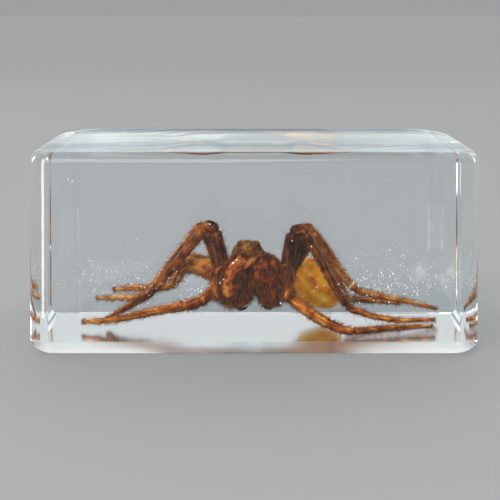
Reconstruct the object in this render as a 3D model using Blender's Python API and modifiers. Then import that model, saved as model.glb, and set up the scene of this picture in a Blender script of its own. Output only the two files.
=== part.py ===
"""A dried spider cast in a clear block, as a faceted model in metres.

The block stands on its base at z = 0 with its long side along x. The spider faces -y, towards the
front of the block. The block is cast in two pours, so it is two solids that meet at the pour height,
and the spider lies in the pocket that they leave around it.
"""

import bmesh
import bpy
from math import radians
from mathutils import Matrix, Vector

MM = 0.001

# The block
BLOCK_LENGTH = 44.0 * MM
BLOCK_DEPTH = 28.0 * MM
BLOCK_HEIGHT = 19.5 * MM
SIDE_LEAN = 0.4 * MM  # how far each side leans in from the base to the top, so it leaves its mould
FRONT_CORNER = (2.4 * MM, 4.8 * MM)  # how far each front corner's curve runs along x and along y
BACK_CORNER = (1.8 * MM, 2.4 * MM)
EDGE_ROUND = 1.1 * MM
POUR_HEIGHT = 6.6 * MM
GAP = 0.3 * MM
CORNER_STEPS = 5
EDGE_STEPS = 2

# The spider's legs. Every leg has the same stations, and these are its radii there.
STATION_RADII = {
    "coxa": 0.80 * MM,
    "trochanter": 0.66 * MM,
    "femur": 0.66 * MM,
    "femur_end": 0.54 * MM,
    "knee": 0.56 * MM,
    "tibia": 0.50 * MM,
    "tibia_end": 0.40 * MM,
    "metatarsus": 0.34 * MM,
    "metatarsus_end": 0.28 * MM,
    "claw": 0.17 * MM,
}

# Where each leg's stations are, in mm: x to the right, y to the back, z up.
LEGS = {
    "left_1": ((-1.0, 2.6, 5.3), (-2.9, 1.0, 4.9), (-4.2, -1.6, 4.5), (-5.2, -3.4, 3.95), (-6.1, -3.9, 3.65),
               (-7.3, -3.2, 3.3), (-11.1, -1.0, 2.25), (-13.7, 0.6, 1.45), (-15.4, 1.6, 1.05), (-17.6, 2.6, 0.85)),
    "left_2": ((-1.0, 3.2, 5.2), (-2.7, 2.8, 4.9), (-3.2, 3.0, 7.2), (-3.7, 3.1, 9.6), (-4.4, 3.3, 10.7),
               (-5.4, 3.4, 10.0), (-10.0, 3.8, 4.3), (-12.5, 4.2, 2.5), (-14.1, 4.6, 1.5), (-15.2, 4.9, 0.85)),
    "left_3": ((-1.0, 4.2, 5.2), (-2.9, 4.9, 5.0), (-3.8, 5.5, 7.2), (-4.7, 6.0, 9.2), (-5.4, 6.3, 10.1),
               (-6.4, 6.6, 9.2), (-11.0, 8.1, 3.3), (-12.6, 8.5, 2.55), (-14.4, 8.9, 2.4), (-16.6, 9.4, 2.3)),
    "left_4": ((-0.9, 5.2, 5.1), (-2.9, 6.9, 5.1), (-4.7, 8.1, 5.6), (-6.4, 9.0, 6.1), (-7.4, 9.5, 5.7),
               (-7.9, 9.7, 4.8), (-8.7, 10.0, 3.6), (-10.8, 10.3, 3.25), (-12.9, 10.7, 3.2), (-14.9, 11.0, 3.0)),
    "right_1": ((1.2, 2.6, 5.2), (3.1, 0.7, 4.3), (4.4, -1.8, 3.4), (5.7, -4.0, 2.7), (6.7, -5.4, 2.3),
                (7.7, -6.5, 1.9), (9.5, -7.0, 1.4), (12.8, -4.6, 1.25), (14.9, -3.2, 1.15), (18.0, -1.4, 1.0)),
    "right_2": ((1.2, 3.2, 5.1), (3.3, 2.9, 4.5), (3.5, 3.0, 7.0), (3.8, 3.1, 9.3), (4.6, 3.3, 10.3),
                (5.6, 3.5, 9.4), (9.3, 4.0, 2.8), (11.3, 3.1, 1.7), (14.4, 2.0, 1.1), (18.6, 2.8, 1.0)),
    "right_3": ((1.2, 4.2, 5.1), (3.2, 4.9, 4.8), (3.9, 5.4, 7.0), (4.6, 6.0, 9.0), (5.3, 6.35, 9.95),
                (6.4, 6.7, 9.3), (10.4, 8.1, 3.8), (12.8, 8.5, 2.8), (15.5, 8.8, 2.2), (19.4, 9.3, 1.2)),
    "right_4": ((1.1, 5.2, 5.0), (3.0, 6.0, 4.8), (4.2, 6.6, 6.6), (5.4, 7.1, 8.2), (6.4, 7.6, 8.7),
                (7.2, 8.0, 7.9), (9.6, 8.9, 2.9), (10.9, 9.9, 2.1), (12.9, 10.8, 1.8), (15.5, 11.2, 1.5)),
}

# The two palps beside the jaws: their points in mm, and their radii.
PALP_RADII = (0.42 * MM, 0.44 * MM, 0.42 * MM, 0.40 * MM, 0.22 * MM)
PALPS = {
    "left": ((-1.4, 1.6, 5.6), (-3.1, -0.2, 6.8), (-3.9, -1.5, 6.6), (-4.0, -2.1, 5.2), (-3.6, -2.2, 3.8)),
    "right": ((1.5, 1.6, 5.6), (3.0, 0.0, 6.7), (3.6, -1.2, 6.4), (3.6, -1.8, 5.0), (3.1, -2.0, 3.7)),
}

# The rounded parts of the body: centre and half sizes in mm, and turns about x, y and z in degrees.
BODY_LUMPS = {
    "carapace": ((0.1, 3.6, 6.2), (2.9, 3.9, 1.9), (-4.0, 0.0, 8.0)),
    "head": ((-0.6, 1.5, 7.6), (1.75, 2.0, 1.9), (-10.0, 0.0, 10.0)),
    "left_jaw": ((-1.85, -0.5, 5.2), (1.85, 1.5, 2.65), (-8.0, 8.0, 12.0)),
    "right_jaw": ((1.55, -0.2, 5.3), (1.55, 1.4, 2.65), (-8.0, -9.0, -4.0)),
    "waist": ((2.6, 7.1, 5.2), (2.0, 0.9, 0.8), (0.0, 20.0, 35.0)),
    "abdomen": ((6.6, 9.8, 3.8), (3.2, 2.7, 2.4), (0.0, 38.0, 20.0)),
}

PATH_STEPS = 3  # tube rings between one station and the next
KNEE = list(STATION_RADII).index("knee")
KNEE_SWELL = 1.06  # how much wider the lower leg is than the thigh where they meet
LUMP_SIDES = 24
LUMP_RINGS = 16
SPIDER_GRAIN = 0.12 * MM  # how finely the spider's pieces are fused, and about how many triangles that leaves
SPIDER_TRIANGLES = 5000
POCKET_ROOM = 0.45 * MM  # how much larger than the spider the pocket's radii are
POCKET_GRAIN = 0.2 * MM
POCKET_TRIANGLES = 1800


def clear_scene():
    """Remove what the scene holds, so that the script starts from nothing."""
    for old in list(bpy.data.objects):
        bpy.data.objects.remove(old, do_unlink=True)


def new_collection(name):
    """Make a collection in the scene."""
    made = bpy.data.collections.new(name)
    bpy.context.scene.collection.children.link(made)
    return made


def principled(name, colour, roughness, transmission=0.0, ior=1.5):
    """Make a material with one Principled shader."""
    made = bpy.data.materials.new(name)
    made.use_nodes = True
    shader = made.node_tree.nodes["Principled BSDF"]
    shader.inputs["Base Color"].default_value = (*colour, 1.0)
    shader.inputs["Roughness"].default_value = roughness
    shader.inputs["Metallic"].default_value = 0.0
    shader.inputs["Transmission Weight"].default_value = transmission
    shader.inputs["IOR"].default_value = ior
    made.diffuse_color = (*colour, 1.0)
    return made


def in_metres(point):
    """Turn a point in mm into a vector in metres."""
    return Vector(point) * MM


def object_from(name, shape, collection):
    """Make an object from a bmesh, and free the bmesh."""
    mesh = bpy.data.meshes.new(name)
    shape.to_mesh(mesh)
    shape.free()
    made = bpy.data.objects.new(name, mesh)
    collection.objects.link(made)
    return made


def as_cutter(piece):
    """Mark an object as a tool that isn't part of the model."""
    piece.hide_render = True
    piece.display_type = "WIRE"
    return piece


def apply_modifiers(target):
    """Put the evaluated mesh in place of an object's own, and clear its modifiers."""
    graph = bpy.context.evaluated_depsgraph_get()
    result = bpy.data.meshes.new_from_object(target.evaluated_get(graph), depsgraph=graph)
    target.modifiers.clear()
    old = target.data
    result.name = old.name
    target.data = result
    bpy.data.meshes.remove(old)


def boolean(target, tool, operation):
    """Apply one exact Boolean to a mesh object."""
    modifier = target.modifiers.new(operation.lower(), "BOOLEAN")
    modifier.operation = operation
    modifier.solver = "EXACT"
    modifier.object = tool
    apply_modifiers(target)


def keep_largest(piece):
    """Delete all of a mesh but its largest connected body, such as slivers of resin between two legs."""
    shape = bmesh.new()
    shape.from_mesh(piece.data)
    unseen = set(shape.verts)
    bodies = []
    while unseen:
        body = {unseen.pop()}
        front = list(body)
        while front:
            here = front.pop()
            near = {edge.other_vert(here) for edge in here.link_edges} - body
            body |= near
            front.extend(near)
        unseen -= body
        bodies.append(body)
    bodies.sort(key=len)
    for body in bodies[:-1]:
        bmesh.ops.delete(shape, geom=list(body), context="VERTS")
    shape.to_mesh(piece.data)
    shape.free()


def fuse(name, pieces, grain, triangles, collection):
    """Fuse closed pieces that overlap into one body, with about the given number of triangles."""
    joined = bmesh.new()
    for piece in pieces:
        joined.from_mesh(piece.data)
        bpy.data.objects.remove(piece, do_unlink=True)
    whole = object_from(name, joined, collection)
    remesh = whole.modifiers.new("fuse", "REMESH")
    remesh.mode = "VOXEL"
    remesh.voxel_size = grain
    apply_modifiers(whole)
    whole.data.calc_loop_triangles()
    thin = whole.modifiers.new("thin", "DECIMATE")
    thin.ratio = triangles / len(whole.data.loop_triangles)
    apply_modifiers(whole)
    keep_largest(whole)
    return whole


def smooth_path(points, radii):
    """Read points and radii from a Catmull-Rom curve through the stations, so that no bend is sharp."""
    ends = [points[0] * 2 - points[1], *points, points[-1] * 2 - points[-2]]
    sizes = [radii[0], *radii, radii[-1]]
    path = []
    for index in range(len(points) - 1):
        p0, p1, p2, p3 = ends[index:index + 4]
        r0, r1, r2, r3 = sizes[index:index + 4]
        for step in range(PATH_STEPS):
            t = step / PATH_STEPS
            weights = (
                -0.5 * t + t * t - 0.5 * t ** 3,
                1.0 - 2.5 * t * t + 1.5 * t ** 3,
                0.5 * t + 2.0 * t * t - 1.5 * t ** 3,
                -0.5 * t * t + 0.5 * t ** 3,
            )
            place = p0 * weights[0] + p1 * weights[1] + p2 * weights[2] + p3 * weights[3]
            size = r0 * weights[0] + r1 * weights[1] + r2 * weights[2] + r3 * weights[3]
            path.append((place, size))
    path.append((points[-1], radii[-1]))
    return path


def tube(name, path, collection):
    """Make a closed tube along a path of points and radii, as a mesh."""
    curve = bpy.data.curves.new(name, "CURVE")
    curve.dimensions = "3D"
    curve.bevel_depth = 1.0
    curve.bevel_resolution = 1
    curve.use_fill_caps = True
    spline = curve.splines.new("POLY")
    spline.points.add(len(path) - 1)
    for point, (place, size) in zip(spline.points, path):
        point.co = (*place, 1.0)
        point.radius = size
    bent = bpy.data.objects.new(name + "_curve", curve)
    collection.objects.link(bent)
    graph = bpy.context.evaluated_depsgraph_get()
    mesh = bpy.data.meshes.new_from_object(bent.evaluated_get(graph), depsgraph=graph)
    shape = bmesh.new()
    shape.from_mesh(mesh)
    bmesh.ops.remove_doubles(shape, verts=shape.verts, dist=0.001 * MM)
    bmesh.ops.recalc_face_normals(shape, faces=shape.faces)
    made = object_from(name, shape, collection)
    made.matrix_world = bent.matrix_world
    bpy.data.meshes.remove(mesh)
    bpy.data.objects.remove(bent, do_unlink=True)
    bpy.data.curves.remove(curve)
    return made


def lump(name, centre, half_sizes, turns, room, collection):
    """Make one rounded part of the body from a sphere, larger by the room on each side."""
    shape = bmesh.new()
    bmesh.ops.create_uvsphere(shape, u_segments=LUMP_SIDES, v_segments=LUMP_RINGS, radius=1.0)
    turn = Matrix.LocRotScale(None, Matrix.Identity(3), Vector([size * MM + room for size in half_sizes]))
    for axis, angle in zip("XYZ", turns):
        turn = Matrix.Rotation(radians(angle), 4, axis) @ turn
    bmesh.ops.transform(shape, matrix=Matrix.Translation(in_metres(centre)) @ turn, verts=shape.verts)
    return object_from(name, shape, collection)


def leg(label, stations, room, collection):
    """Make a leg's two tubes, thigh and lower leg, which both follow it a little way round the knee."""
    radii = [radius + room for radius in STATION_RADII.values()]
    path = smooth_path([in_metres(point) for point in stations], radii)
    middle = KNEE * PATH_STEPS
    thigh = path[:middle + 2]
    lower = [(place, size * KNEE_SWELL) for place, size in path[middle - 1:]]
    return [tube(f"thigh_{label}", thigh, collection), tube(f"lower_leg_{label}", lower, collection)]


def spider_form(name, room, grain, triangles, collection):
    """Make the whole spider as one closed body, larger all round by the room."""
    pieces = []
    for label, (centre, half_sizes, turns) in BODY_LUMPS.items():
        pieces.append(lump(label, centre, half_sizes, turns, room, collection))
    for label, stations in LEGS.items():
        pieces.extend(leg(label, stations, room, collection))
    palp_radii = [radius + room for radius in PALP_RADII]
    for label, stations in PALPS.items():
        path = smooth_path([in_metres(point) for point in stations], palp_radii)
        pieces.append(tube(f"palp_{label}", path, collection))
    return fuse(name, pieces, grain, triangles, collection)


def round_corners(shape, side, along_x, along_y):
    """Round the two upright edges on one side of a box, as quarter ellipses.

    The side is -1 for the front and 1 for the back.
    """
    uprights = [edge for edge in shape.edges
                if abs(edge.verts[0].co.z - edge.verts[1].co.z) > GAP and edge.verts[0].co.y * side > 0.0]
    bmesh.ops.bevel(shape, geom=uprights, offset=along_x, segments=CORNER_STEPS, profile=0.5, affect="EDGES")
    face = side * BLOCK_DEPTH / 2
    for vertex in shape.verts:
        if vertex.co.y * side > 0.0:
            vertex.co.y = face + (vertex.co.y - face) * along_y / along_x


def block_form(name, collection):
    """Make the whole block: a box with leaning sides, round corners and rounded edges."""
    shape = bmesh.new()
    bmesh.ops.create_cube(shape, size=1.0)
    size = Vector((BLOCK_LENGTH, BLOCK_DEPTH, BLOCK_HEIGHT))
    bmesh.ops.scale(shape, vec=size, verts=shape.verts)
    bmesh.ops.translate(shape, vec=(0.0, 0.0, BLOCK_HEIGHT / 2), verts=shape.verts)
    round_corners(shape, -1, *FRONT_CORNER)
    round_corners(shape, 1, *BACK_CORNER)
    for vertex in shape.verts:
        if vertex.co.z > BLOCK_HEIGHT / 2:
            vertex.co.x *= 1.0 - 2 * SIDE_LEAN / BLOCK_LENGTH
            vertex.co.y *= 1.0 - 2 * SIDE_LEAN / BLOCK_DEPTH
    rims = [edge for edge in shape.edges if abs(edge.verts[0].co.z - edge.verts[1].co.z) < GAP]
    bmesh.ops.bevel(shape, geom=rims, offset=EDGE_ROUND, segments=EDGE_STEPS, profile=0.5, affect="EDGES")
    return object_from(name, shape, collection)


def slab(name, low, high, collection):
    """Make a wide cutter that spans the block between two heights."""
    shape = bmesh.new()
    bmesh.ops.create_cube(shape, size=1.0)
    bmesh.ops.scale(shape, vec=(2 * BLOCK_LENGTH, 2 * BLOCK_DEPTH, high - low), verts=shape.verts)
    bmesh.ops.translate(shape, vec=(0.0, 0.0, (high + low) / 2), verts=shape.verts)
    return as_cutter(object_from(name, shape, collection))


def resin_part(name, low, high, pocket, parts, cutters):
    """Make one pour of the block, between two heights, with the spider's pocket cut in it."""
    made = block_form(name, parts)
    boolean(made, slab(name + "_span", low, high, cutters), "INTERSECT")
    boolean(made, pocket, "DIFFERENCE")
    keep_largest(made)
    return made


def main():
    """Build the two pours and the spider."""
    clear_scene()
    parts = new_collection("spider_in_clear_block")
    cutters = new_collection("cutters")
    resin = principled("clear_resin", (0.96, 0.98, 1.0), 0.03, transmission=1.0, ior=1.49)
    amber = principled("dried_spider", (0.33, 0.10, 0.02), 0.35)

    pocket = as_cutter(spider_form("pocket", POCKET_ROOM, POCKET_GRAIN, POCKET_TRIANGLES, cutters))
    margin = EDGE_ROUND
    lower = resin_part("resin_lower", -margin, POUR_HEIGHT - GAP / 2, pocket, parts, cutters)
    upper = resin_part("resin_upper", POUR_HEIGHT + GAP / 2, BLOCK_HEIGHT + margin, pocket, parts, cutters)
    spider = spider_form("spider", 0.0, SPIDER_GRAIN, SPIDER_TRIANGLES, parts)
    spider.data.shade_smooth()

    for piece, material in ((lower, resin), (upper, resin), (spider, amber)):
        piece.data.materials.clear()
        piece.data.materials.append(material)


main()
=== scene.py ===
"""The looks of a dried spider cast in a clear block.

The frame gives the block's two pours and a plain form of the spider. This script puts one clear block in
place of the pours, and a spider with joints, eyes, jaws and hair in place of the plain form. Lengths are in
metres. Lists of places are in mm, as x to the right, y to the back and z up.
"""

import logging
import math
import random
from collections.abc import Callable, Iterable
from dataclasses import dataclass, field
from enum import Enum
from typing import Any

import bmesh
import bpy
from mathutils import Matrix, Vector, noise


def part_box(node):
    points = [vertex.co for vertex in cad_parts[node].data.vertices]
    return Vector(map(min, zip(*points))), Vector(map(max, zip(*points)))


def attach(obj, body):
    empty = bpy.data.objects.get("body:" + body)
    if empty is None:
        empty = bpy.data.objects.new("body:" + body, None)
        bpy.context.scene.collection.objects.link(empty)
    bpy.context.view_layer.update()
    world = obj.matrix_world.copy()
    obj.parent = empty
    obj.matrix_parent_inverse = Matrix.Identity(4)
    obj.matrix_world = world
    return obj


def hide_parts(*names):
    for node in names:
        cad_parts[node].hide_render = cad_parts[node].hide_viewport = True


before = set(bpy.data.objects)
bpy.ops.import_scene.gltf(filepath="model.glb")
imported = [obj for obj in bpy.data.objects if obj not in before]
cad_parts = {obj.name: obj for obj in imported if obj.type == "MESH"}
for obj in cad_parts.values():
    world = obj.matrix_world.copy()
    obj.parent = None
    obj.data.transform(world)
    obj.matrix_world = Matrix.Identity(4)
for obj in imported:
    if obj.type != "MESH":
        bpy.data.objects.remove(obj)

MM = 0.001
FULL_TURN = 2.0 * math.pi
QUARTER_TURN = FULL_TURN / 4
WHITE = (1.0, 1.0, 1.0, 1.0)
SKIN_IOR = 1.12  # skin against the resin that wets it, which leaves little gloss
LOG = logging.getLogger("spider_in_clear_block")

Colour = tuple[float, float, float]
Triple = tuple[float, float, float]
Shade = tuple[float, Colour]


class Slot(Enum):
    """The record's material slots."""

    RESIN = "clear_resin"
    SPIDER = "dried_spider"


class Node(Enum):
    """The nodes of the frame."""

    LOWER_POUR = "resin_lower"
    UPPER_POUR = "resin_upper"
    SPIDER = "spider"


class Side(Enum):
    """A side of the spider, as the sign of x."""

    LEFT = -1
    RIGHT = 1


class Segment(Enum):
    """A leg's segments, as the stations where each begins and ends."""

    COXA = (0.0, 0.8)
    TROCHANTER = (0.8, 1.2)
    FEMUR = (1.2, 3.35)
    PATELLA = (3.35, 4.8)
    TIBIA = (4.8, 6.1)
    METATARSUS = (6.1, 8.0)
    TARSUS = (8.0, 9.0)


def in_metres(place: Iterable[float]) -> Vector:
    """Turn a place in mm into a vector in metres."""
    return Vector(place) * MM


def bell(distance: float, width: float) -> float:
    """Give a smooth bump of height 1 that fades with distance over about the width."""
    return math.exp(-((distance / width) ** 2))


def blend(low: float, high: float, share: float) -> float:
    """Give the value that lies a share of the way from low to high."""
    return low + (high - low) * share


def limited(value: float) -> float:
    """Give the value, or the nearer of 0 and 1 where it is past them."""
    return min(1.0, max(0.0, value))


def around(turn: float, scale: float, along: float, shift: float = 0.0) -> Vector:
    """Wrap a turn into a place, so that noise read there has no seam.

    Args:
        turn: The turn round a limb.
        scale: The radius of the circle that the turn runs on.
        along: The circle's height.
        shift: How far the circle is moved sideways.

    Returns:
        The place on the circle.
    """
    return Vector((math.cos(turn) * scale + shift, math.sin(turn) * scale, along))


def add_object(name: str, data: bpy.types.ID) -> bpy.types.Object:
    """Make an object and link it to the scene.

    Args:
        name: The object's name.
        data: Its mesh, light or camera.

    Returns:
        The object.
    """
    made = bpy.data.objects.new(name, data)
    bpy.context.scene.collection.objects.link(made)
    return made


class Wiring:
    """Adds nodes to one node tree and links them."""

    def __init__(self, tree: bpy.types.NodeTree) -> None:
        """Take the tree that the nodes go in."""
        self.tree = tree

    def feed(self, node: bpy.types.Node, inputs: dict[Any, Any]) -> None:
        """Set some of a node's inputs.

        Args:
            node: The node.
            inputs: A value or a linked socket for each input, by its name or number.
        """
        for name, value in inputs.items():
            if isinstance(value, bpy.types.NodeSocket):
                self.tree.links.new(value, node.inputs[name])
            else:
                node.inputs[name].default_value = value

    def add(self, kind: str, inputs: dict[Any, Any] | None = None, **settings: Any) -> bpy.types.Node:
        """Add one node.

        Args:
            kind: The node's type name.
            inputs: A value or a linked socket for each input, by its name or number.
            settings: The node's own settings.

        Returns:
            The new node.
        """
        node = self.tree.nodes.new(kind)
        for name, value in settings.items():
            setattr(node, name, value)
        self.feed(node, inputs or {})
        return node

    def math(self, operation: str, *values: Any, clamp: bool = False) -> bpy.types.NodeSocket:
        """Add a Math node and give its result."""
        node = self.add("ShaderNodeMath", dict(enumerate(values)), operation=operation, use_clamp=clamp)
        return node.outputs[0]

    def attribute(self, name: str, output: str) -> bpy.types.NodeSocket:
        """Give one output of a value that the mesh carries."""
        return self.add("ShaderNodeAttribute", attribute_name=name).outputs[output]

    def ramp(self, factor: bpy.types.NodeSocket, shades: Iterable[Shade]) -> bpy.types.NodeSocket:
        """Give the colour that a value has on a list of shades.

        Args:
            factor: The value, from 0 to 1.
            shades: Each shade's position and colour, at least two of them.

        Returns:
            The colour's socket.
        """
        node = self.add("ShaderNodeValToRGB", {0: factor})
        stops = node.color_ramp.elements
        for index, (position, colour) in enumerate(shades):
            stop = stops[index] if index < len(stops) else stops.new(position)
            stop.position = position
            stop.color = (*colour, 1.0)
        return node.outputs[0]


def new_material(name: str) -> tuple[bpy.types.Material, Wiring, bpy.types.Node, bpy.types.Node]:
    """Make a material that has only its output and a Principled shader.

    Args:
        name: The material's name.

    Returns:
        The material, its wiring, the shader and the output.
    """
    made = bpy.data.materials.new(name)
    made.use_nodes = True
    nodes = made.node_tree.nodes
    return made, Wiring(made.node_tree), nodes["Principled BSDF"], nodes["Material Output"]


class SkinGrain:
    """The node group that breaks up the tone of dried skin with streaks, blotches and pores."""

    name = "skin_grain"
    numbers = (
        ("Tone", 0.5),
        ("Streak Depth", 0.3),
        ("Blotch Depth", 0.25),
        ("Blotch Scale", 900.0),
        ("Pore Scale", 9000.0),
    )
    streak_noise = {"Scale": 2.6, "Detail": 5.0, "Roughness": 0.62}
    blotch_detail = 3.0
    contrast = 2.6  # how strongly the streaks and blotches shift the tone
    pore_height = 0.25  # where the streaks' height is 1

    @classmethod
    def tree(cls) -> bpy.types.NodeTree:
        """Give the group, built the first time that it is asked for."""
        return bpy.data.node_groups.get(cls.name) or cls.build()

    @classmethod
    def build(cls) -> bpy.types.NodeTree:
        """Build the group.

        Returns:
            The group, which puts out a Tone and a Height.
        """
        tree = bpy.data.node_groups.new(cls.name, "ShaderNodeTree")
        for name, value in cls.numbers:
            socket = tree.interface.new_socket(name, in_out="INPUT", socket_type="NodeSocketFloat")
            socket.default_value = value
        tree.interface.new_socket("Strand", in_out="INPUT", socket_type="NodeSocketVector")
        for name in ("Tone", "Height"):
            tree.interface.new_socket(name, in_out="OUTPUT", socket_type="NodeSocketFloat")
        wiring = Wiring(tree)
        given = wiring.add("NodeGroupInput").outputs
        place = wiring.add("ShaderNodeTexCoord").outputs["Object"]
        streak = wiring.add("ShaderNodeTexNoise", {"Vector": given["Strand"], **cls.streak_noise}).outputs[0]
        blotch = wiring.add("ShaderNodeTexNoise", {"Vector": place, "Scale": given["Blotch Scale"],
                                                   "Detail": cls.blotch_detail}).outputs[0]
        pore = wiring.add("ShaderNodeTexVoronoi", {"Vector": place, "Scale": given["Pore Scale"]}).outputs[0]
        streaked = wiring.math("MULTIPLY", wiring.math("SUBTRACT", streak, 0.5), given["Streak Depth"])
        blotched = wiring.math("MULTIPLY", wiring.math("SUBTRACT", blotch, 0.5), given["Blotch Depth"])
        varied = wiring.math("ADD", streaked, blotched)
        tone = wiring.math("MULTIPLY_ADD", varied, cls.contrast, given["Tone"], clamp=True)
        height = wiring.math("MULTIPLY_ADD", pore, cls.pore_height, streak)
        wiring.add("NodeGroupOutput", {"Tone": tone, "Height": height})
        return tree


@dataclass(frozen=True)
class SkinFinish:
    """Dried, translucent skin: dark where it is thick, amber where it is thin."""

    name: str
    shades: tuple[Shade, ...]
    streak_depth: float = 0.30
    blotch_depth: float = 0.25
    blotch_scale: float = 900.0
    roughness: tuple[float, float] = (0.30, 0.52)
    glow: float = 0.25
    glow_reach: Triple = (0.4, 0.2, 0.08)  # mm
    clearness: float = 0.0
    painted_glow: float = 0.0  # painted glow: the skin gives off its own colour at this strength, in place of light from behind shining through it
    bump: float = 0.35
    bump_distance: float = 0.05 * MM
    height_range: tuple[float, float] = (0.3, 0.9)  # the grain's heights with the least and most roughness

    def material(self) -> bpy.types.Material:
        """Build the material.

        Returns:
            A material that reads the mesh's tone and strand values.
        """
        made, wiring, shader, _ = new_material(self.name)
        grain = wiring.add("ShaderNodeGroup", {
            "Tone": wiring.attribute("tone", "Fac"),
            "Strand": wiring.attribute("strand", "Vector"),
            "Streak Depth": self.streak_depth,
            "Blotch Depth": self.blotch_depth,
            "Blotch Scale": self.blotch_scale,
        }, node_tree=SkinGrain.tree()).outputs
        colour = wiring.ramp(grain["Tone"], self.shades)
        span = dict(enumerate((*self.height_range, *self.roughness), start=1))
        rough = wiring.add("ShaderNodeMapRange", {0: grain["Height"], **span}).outputs[0]
        bump = wiring.add("ShaderNodeBump", {"Height": grain["Height"], "Strength": self.bump,
                                             "Distance": self.bump_distance}).outputs[0]
        wiring.feed(shader, {
            "Base Color": colour,
            "Roughness": rough,
            "Normal": bump,
            "IOR": SKIN_IOR,
            # Painted glow: the emission in the skin's own colour stands in for light shining through it from
            # behind.
            "Emission Color": colour,
            "Emission Strength": self.painted_glow,
            "Subsurface Weight": self.glow,
            "Subsurface Radius": self.glow_reach,
            "Subsurface Scale": MM,
            "Transmission Weight": self.clearness,
        })
        return made


@dataclass(frozen=True)
class HairFinish:
    """Fine hair, from dark at the root to golden at the tip."""

    name: str
    shades: tuple[Shade, ...]
    roughness: float = 0.45

    def material(self) -> bpy.types.Material:
        """Build the material, which reads the tone along each hair.

        Returns:
            A material from the shades.
        """
        made, wiring, shader, _ = new_material(self.name)
        colour = wiring.ramp(wiring.attribute("tone", "Fac"), self.shades)
        wiring.feed(shader, {"Base Color": colour, "Roughness": self.roughness, "IOR": SKIN_IOR})
        return made


@dataclass(frozen=True)
class ResinFinish:
    """Clear cast resin with a faint tint, polished but for its base and its ground front edge."""

    name: str = "cast_resin"
    ior: float = 1.49
    roughness: float = 0.008
    depth_tint: Colour = (0.80, 0.93, 1.0)
    depth_density: float = 12.0
    shadow_tint: Colour = (0.90, 0.915, 0.92)
    wave_stretch: Triple = (0.06, 1.0, 0.35)  # the surface's slight waves run along the block's length
    wave_scale: float = 240.0
    wave_height: float = 0.0018 * MM
    base_roughness: float = 0.11  # added to the polished roughness, as is the next
    base_reach: float = 0.01 * MM
    ground_roughness: float = 0.38  # of the edge under the front
    ground_edge: tuple[float, float] = (12.55 * MM, 1.48 * MM)  # how far in front it starts, and its height

    def material(self) -> bpy.types.Material:
        """Build the material.

        Returns:
            Glass with absorption inside it. Lamps shine through it on what it holds.
        """
        made, wiring, glass, output = new_material(self.name)
        place = wiring.add("ShaderNodeTexCoord").outputs["Object"]
        stretched = wiring.add("ShaderNodeMapping", {"Vector": place, "Scale": self.wave_stretch}).outputs[0]
        wave = wiring.add("ShaderNodeTexNoise", {"Vector": stretched, "Scale": self.wave_scale,
                                                 "Detail": 1.0}).outputs[0]
        bump = wiring.add("ShaderNodeBump", {"Height": wave, "Strength": 1.0,
                                             "Distance": self.wave_height}).outputs[0]
        parts = wiring.add("ShaderNodeSeparateXYZ", {0: place}).outputs
        on_base = wiring.math("LESS_THAN", parts["Z"], self.base_reach)
        in_front = wiring.math("LESS_THAN", parts["Y"], -self.ground_edge[0])
        low = wiring.math("LESS_THAN", parts["Z"], self.ground_edge[1])
        on_edge = wiring.math("MULTIPLY", in_front, low)
        frosted = wiring.math("MULTIPLY_ADD", on_base, self.base_roughness, self.roughness)
        rough = wiring.math("MULTIPLY_ADD", on_edge, self.ground_roughness, frosted)
        wiring.feed(glass, {"Base Color": WHITE, "Roughness": rough, "Normal": bump, "IOR": self.ior,
                            "Transmission Weight": 1.0})
        shadow = wiring.add("ShaderNodeLightPath").outputs["Is Shadow Ray"]
        clear = wiring.add("ShaderNodeBsdfTransparent", {"Color": (*self.shadow_tint, 1.0)}).outputs[0]
        surface = wiring.add("ShaderNodeMixShader", {0: shadow, 1: glass.outputs[0], 2: clear}).outputs[0]
        tint = wiring.add("ShaderNodeVolumeAbsorption", {"Color": (*self.depth_tint, 1.0),
                                                         "Density": self.depth_density}).outputs[0]
        wiring.feed(output, {"Surface": surface, "Volume": tint})
        return made


@dataclass(frozen=True)
class BubbleFinish:
    """Tiny air bubbles in the resin, painted pale and glowing: a painted glint in place of the light that
    they reflect.
    """

    name: str = "air_bubbles"
    # The bubbles' pale colours and their glow are painted glints, not light that they reflect.
    shades: tuple[Shade, ...] = ((0.0, (0.62, 0.68, 0.72)), (1.0, (0.95, 0.97, 1.0)))
    roughness: float = 0.12
    painted_glint: float = 0.75

    def material(self) -> bpy.types.Material:
        """Build the material, whose brightness differs from bubble to bubble.

        Returns:
            A material that glows faintly in its pale colour: a painted glint in place of the light that a
            bubble catches.
        """
        made, wiring, shader, _ = new_material(self.name)
        colour = wiring.ramp(wiring.attribute("tone", "Fac"), self.shades)
        wiring.feed(shader, {"Base Color": colour, "Roughness": self.roughness, "Emission Color": colour,
                             "Emission Strength": self.painted_glint})
        return made


@dataclass(frozen=True)
class FloorFinish:
    """A plain pale studio floor."""

    name: str = "studio_floor"
    colour: Colour = (0.32, 0.33, 0.34)
    roughness: float = 0.75

    def material(self) -> bpy.types.Material:
        """Build the material.

        Returns:
            A plain material of one colour.
        """
        made, wiring, shader, _ = new_material(self.name)
        wiring.feed(shader, {"Base Color": (*self.colour, 1.0), "Roughness": self.roughness})
        return made


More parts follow.
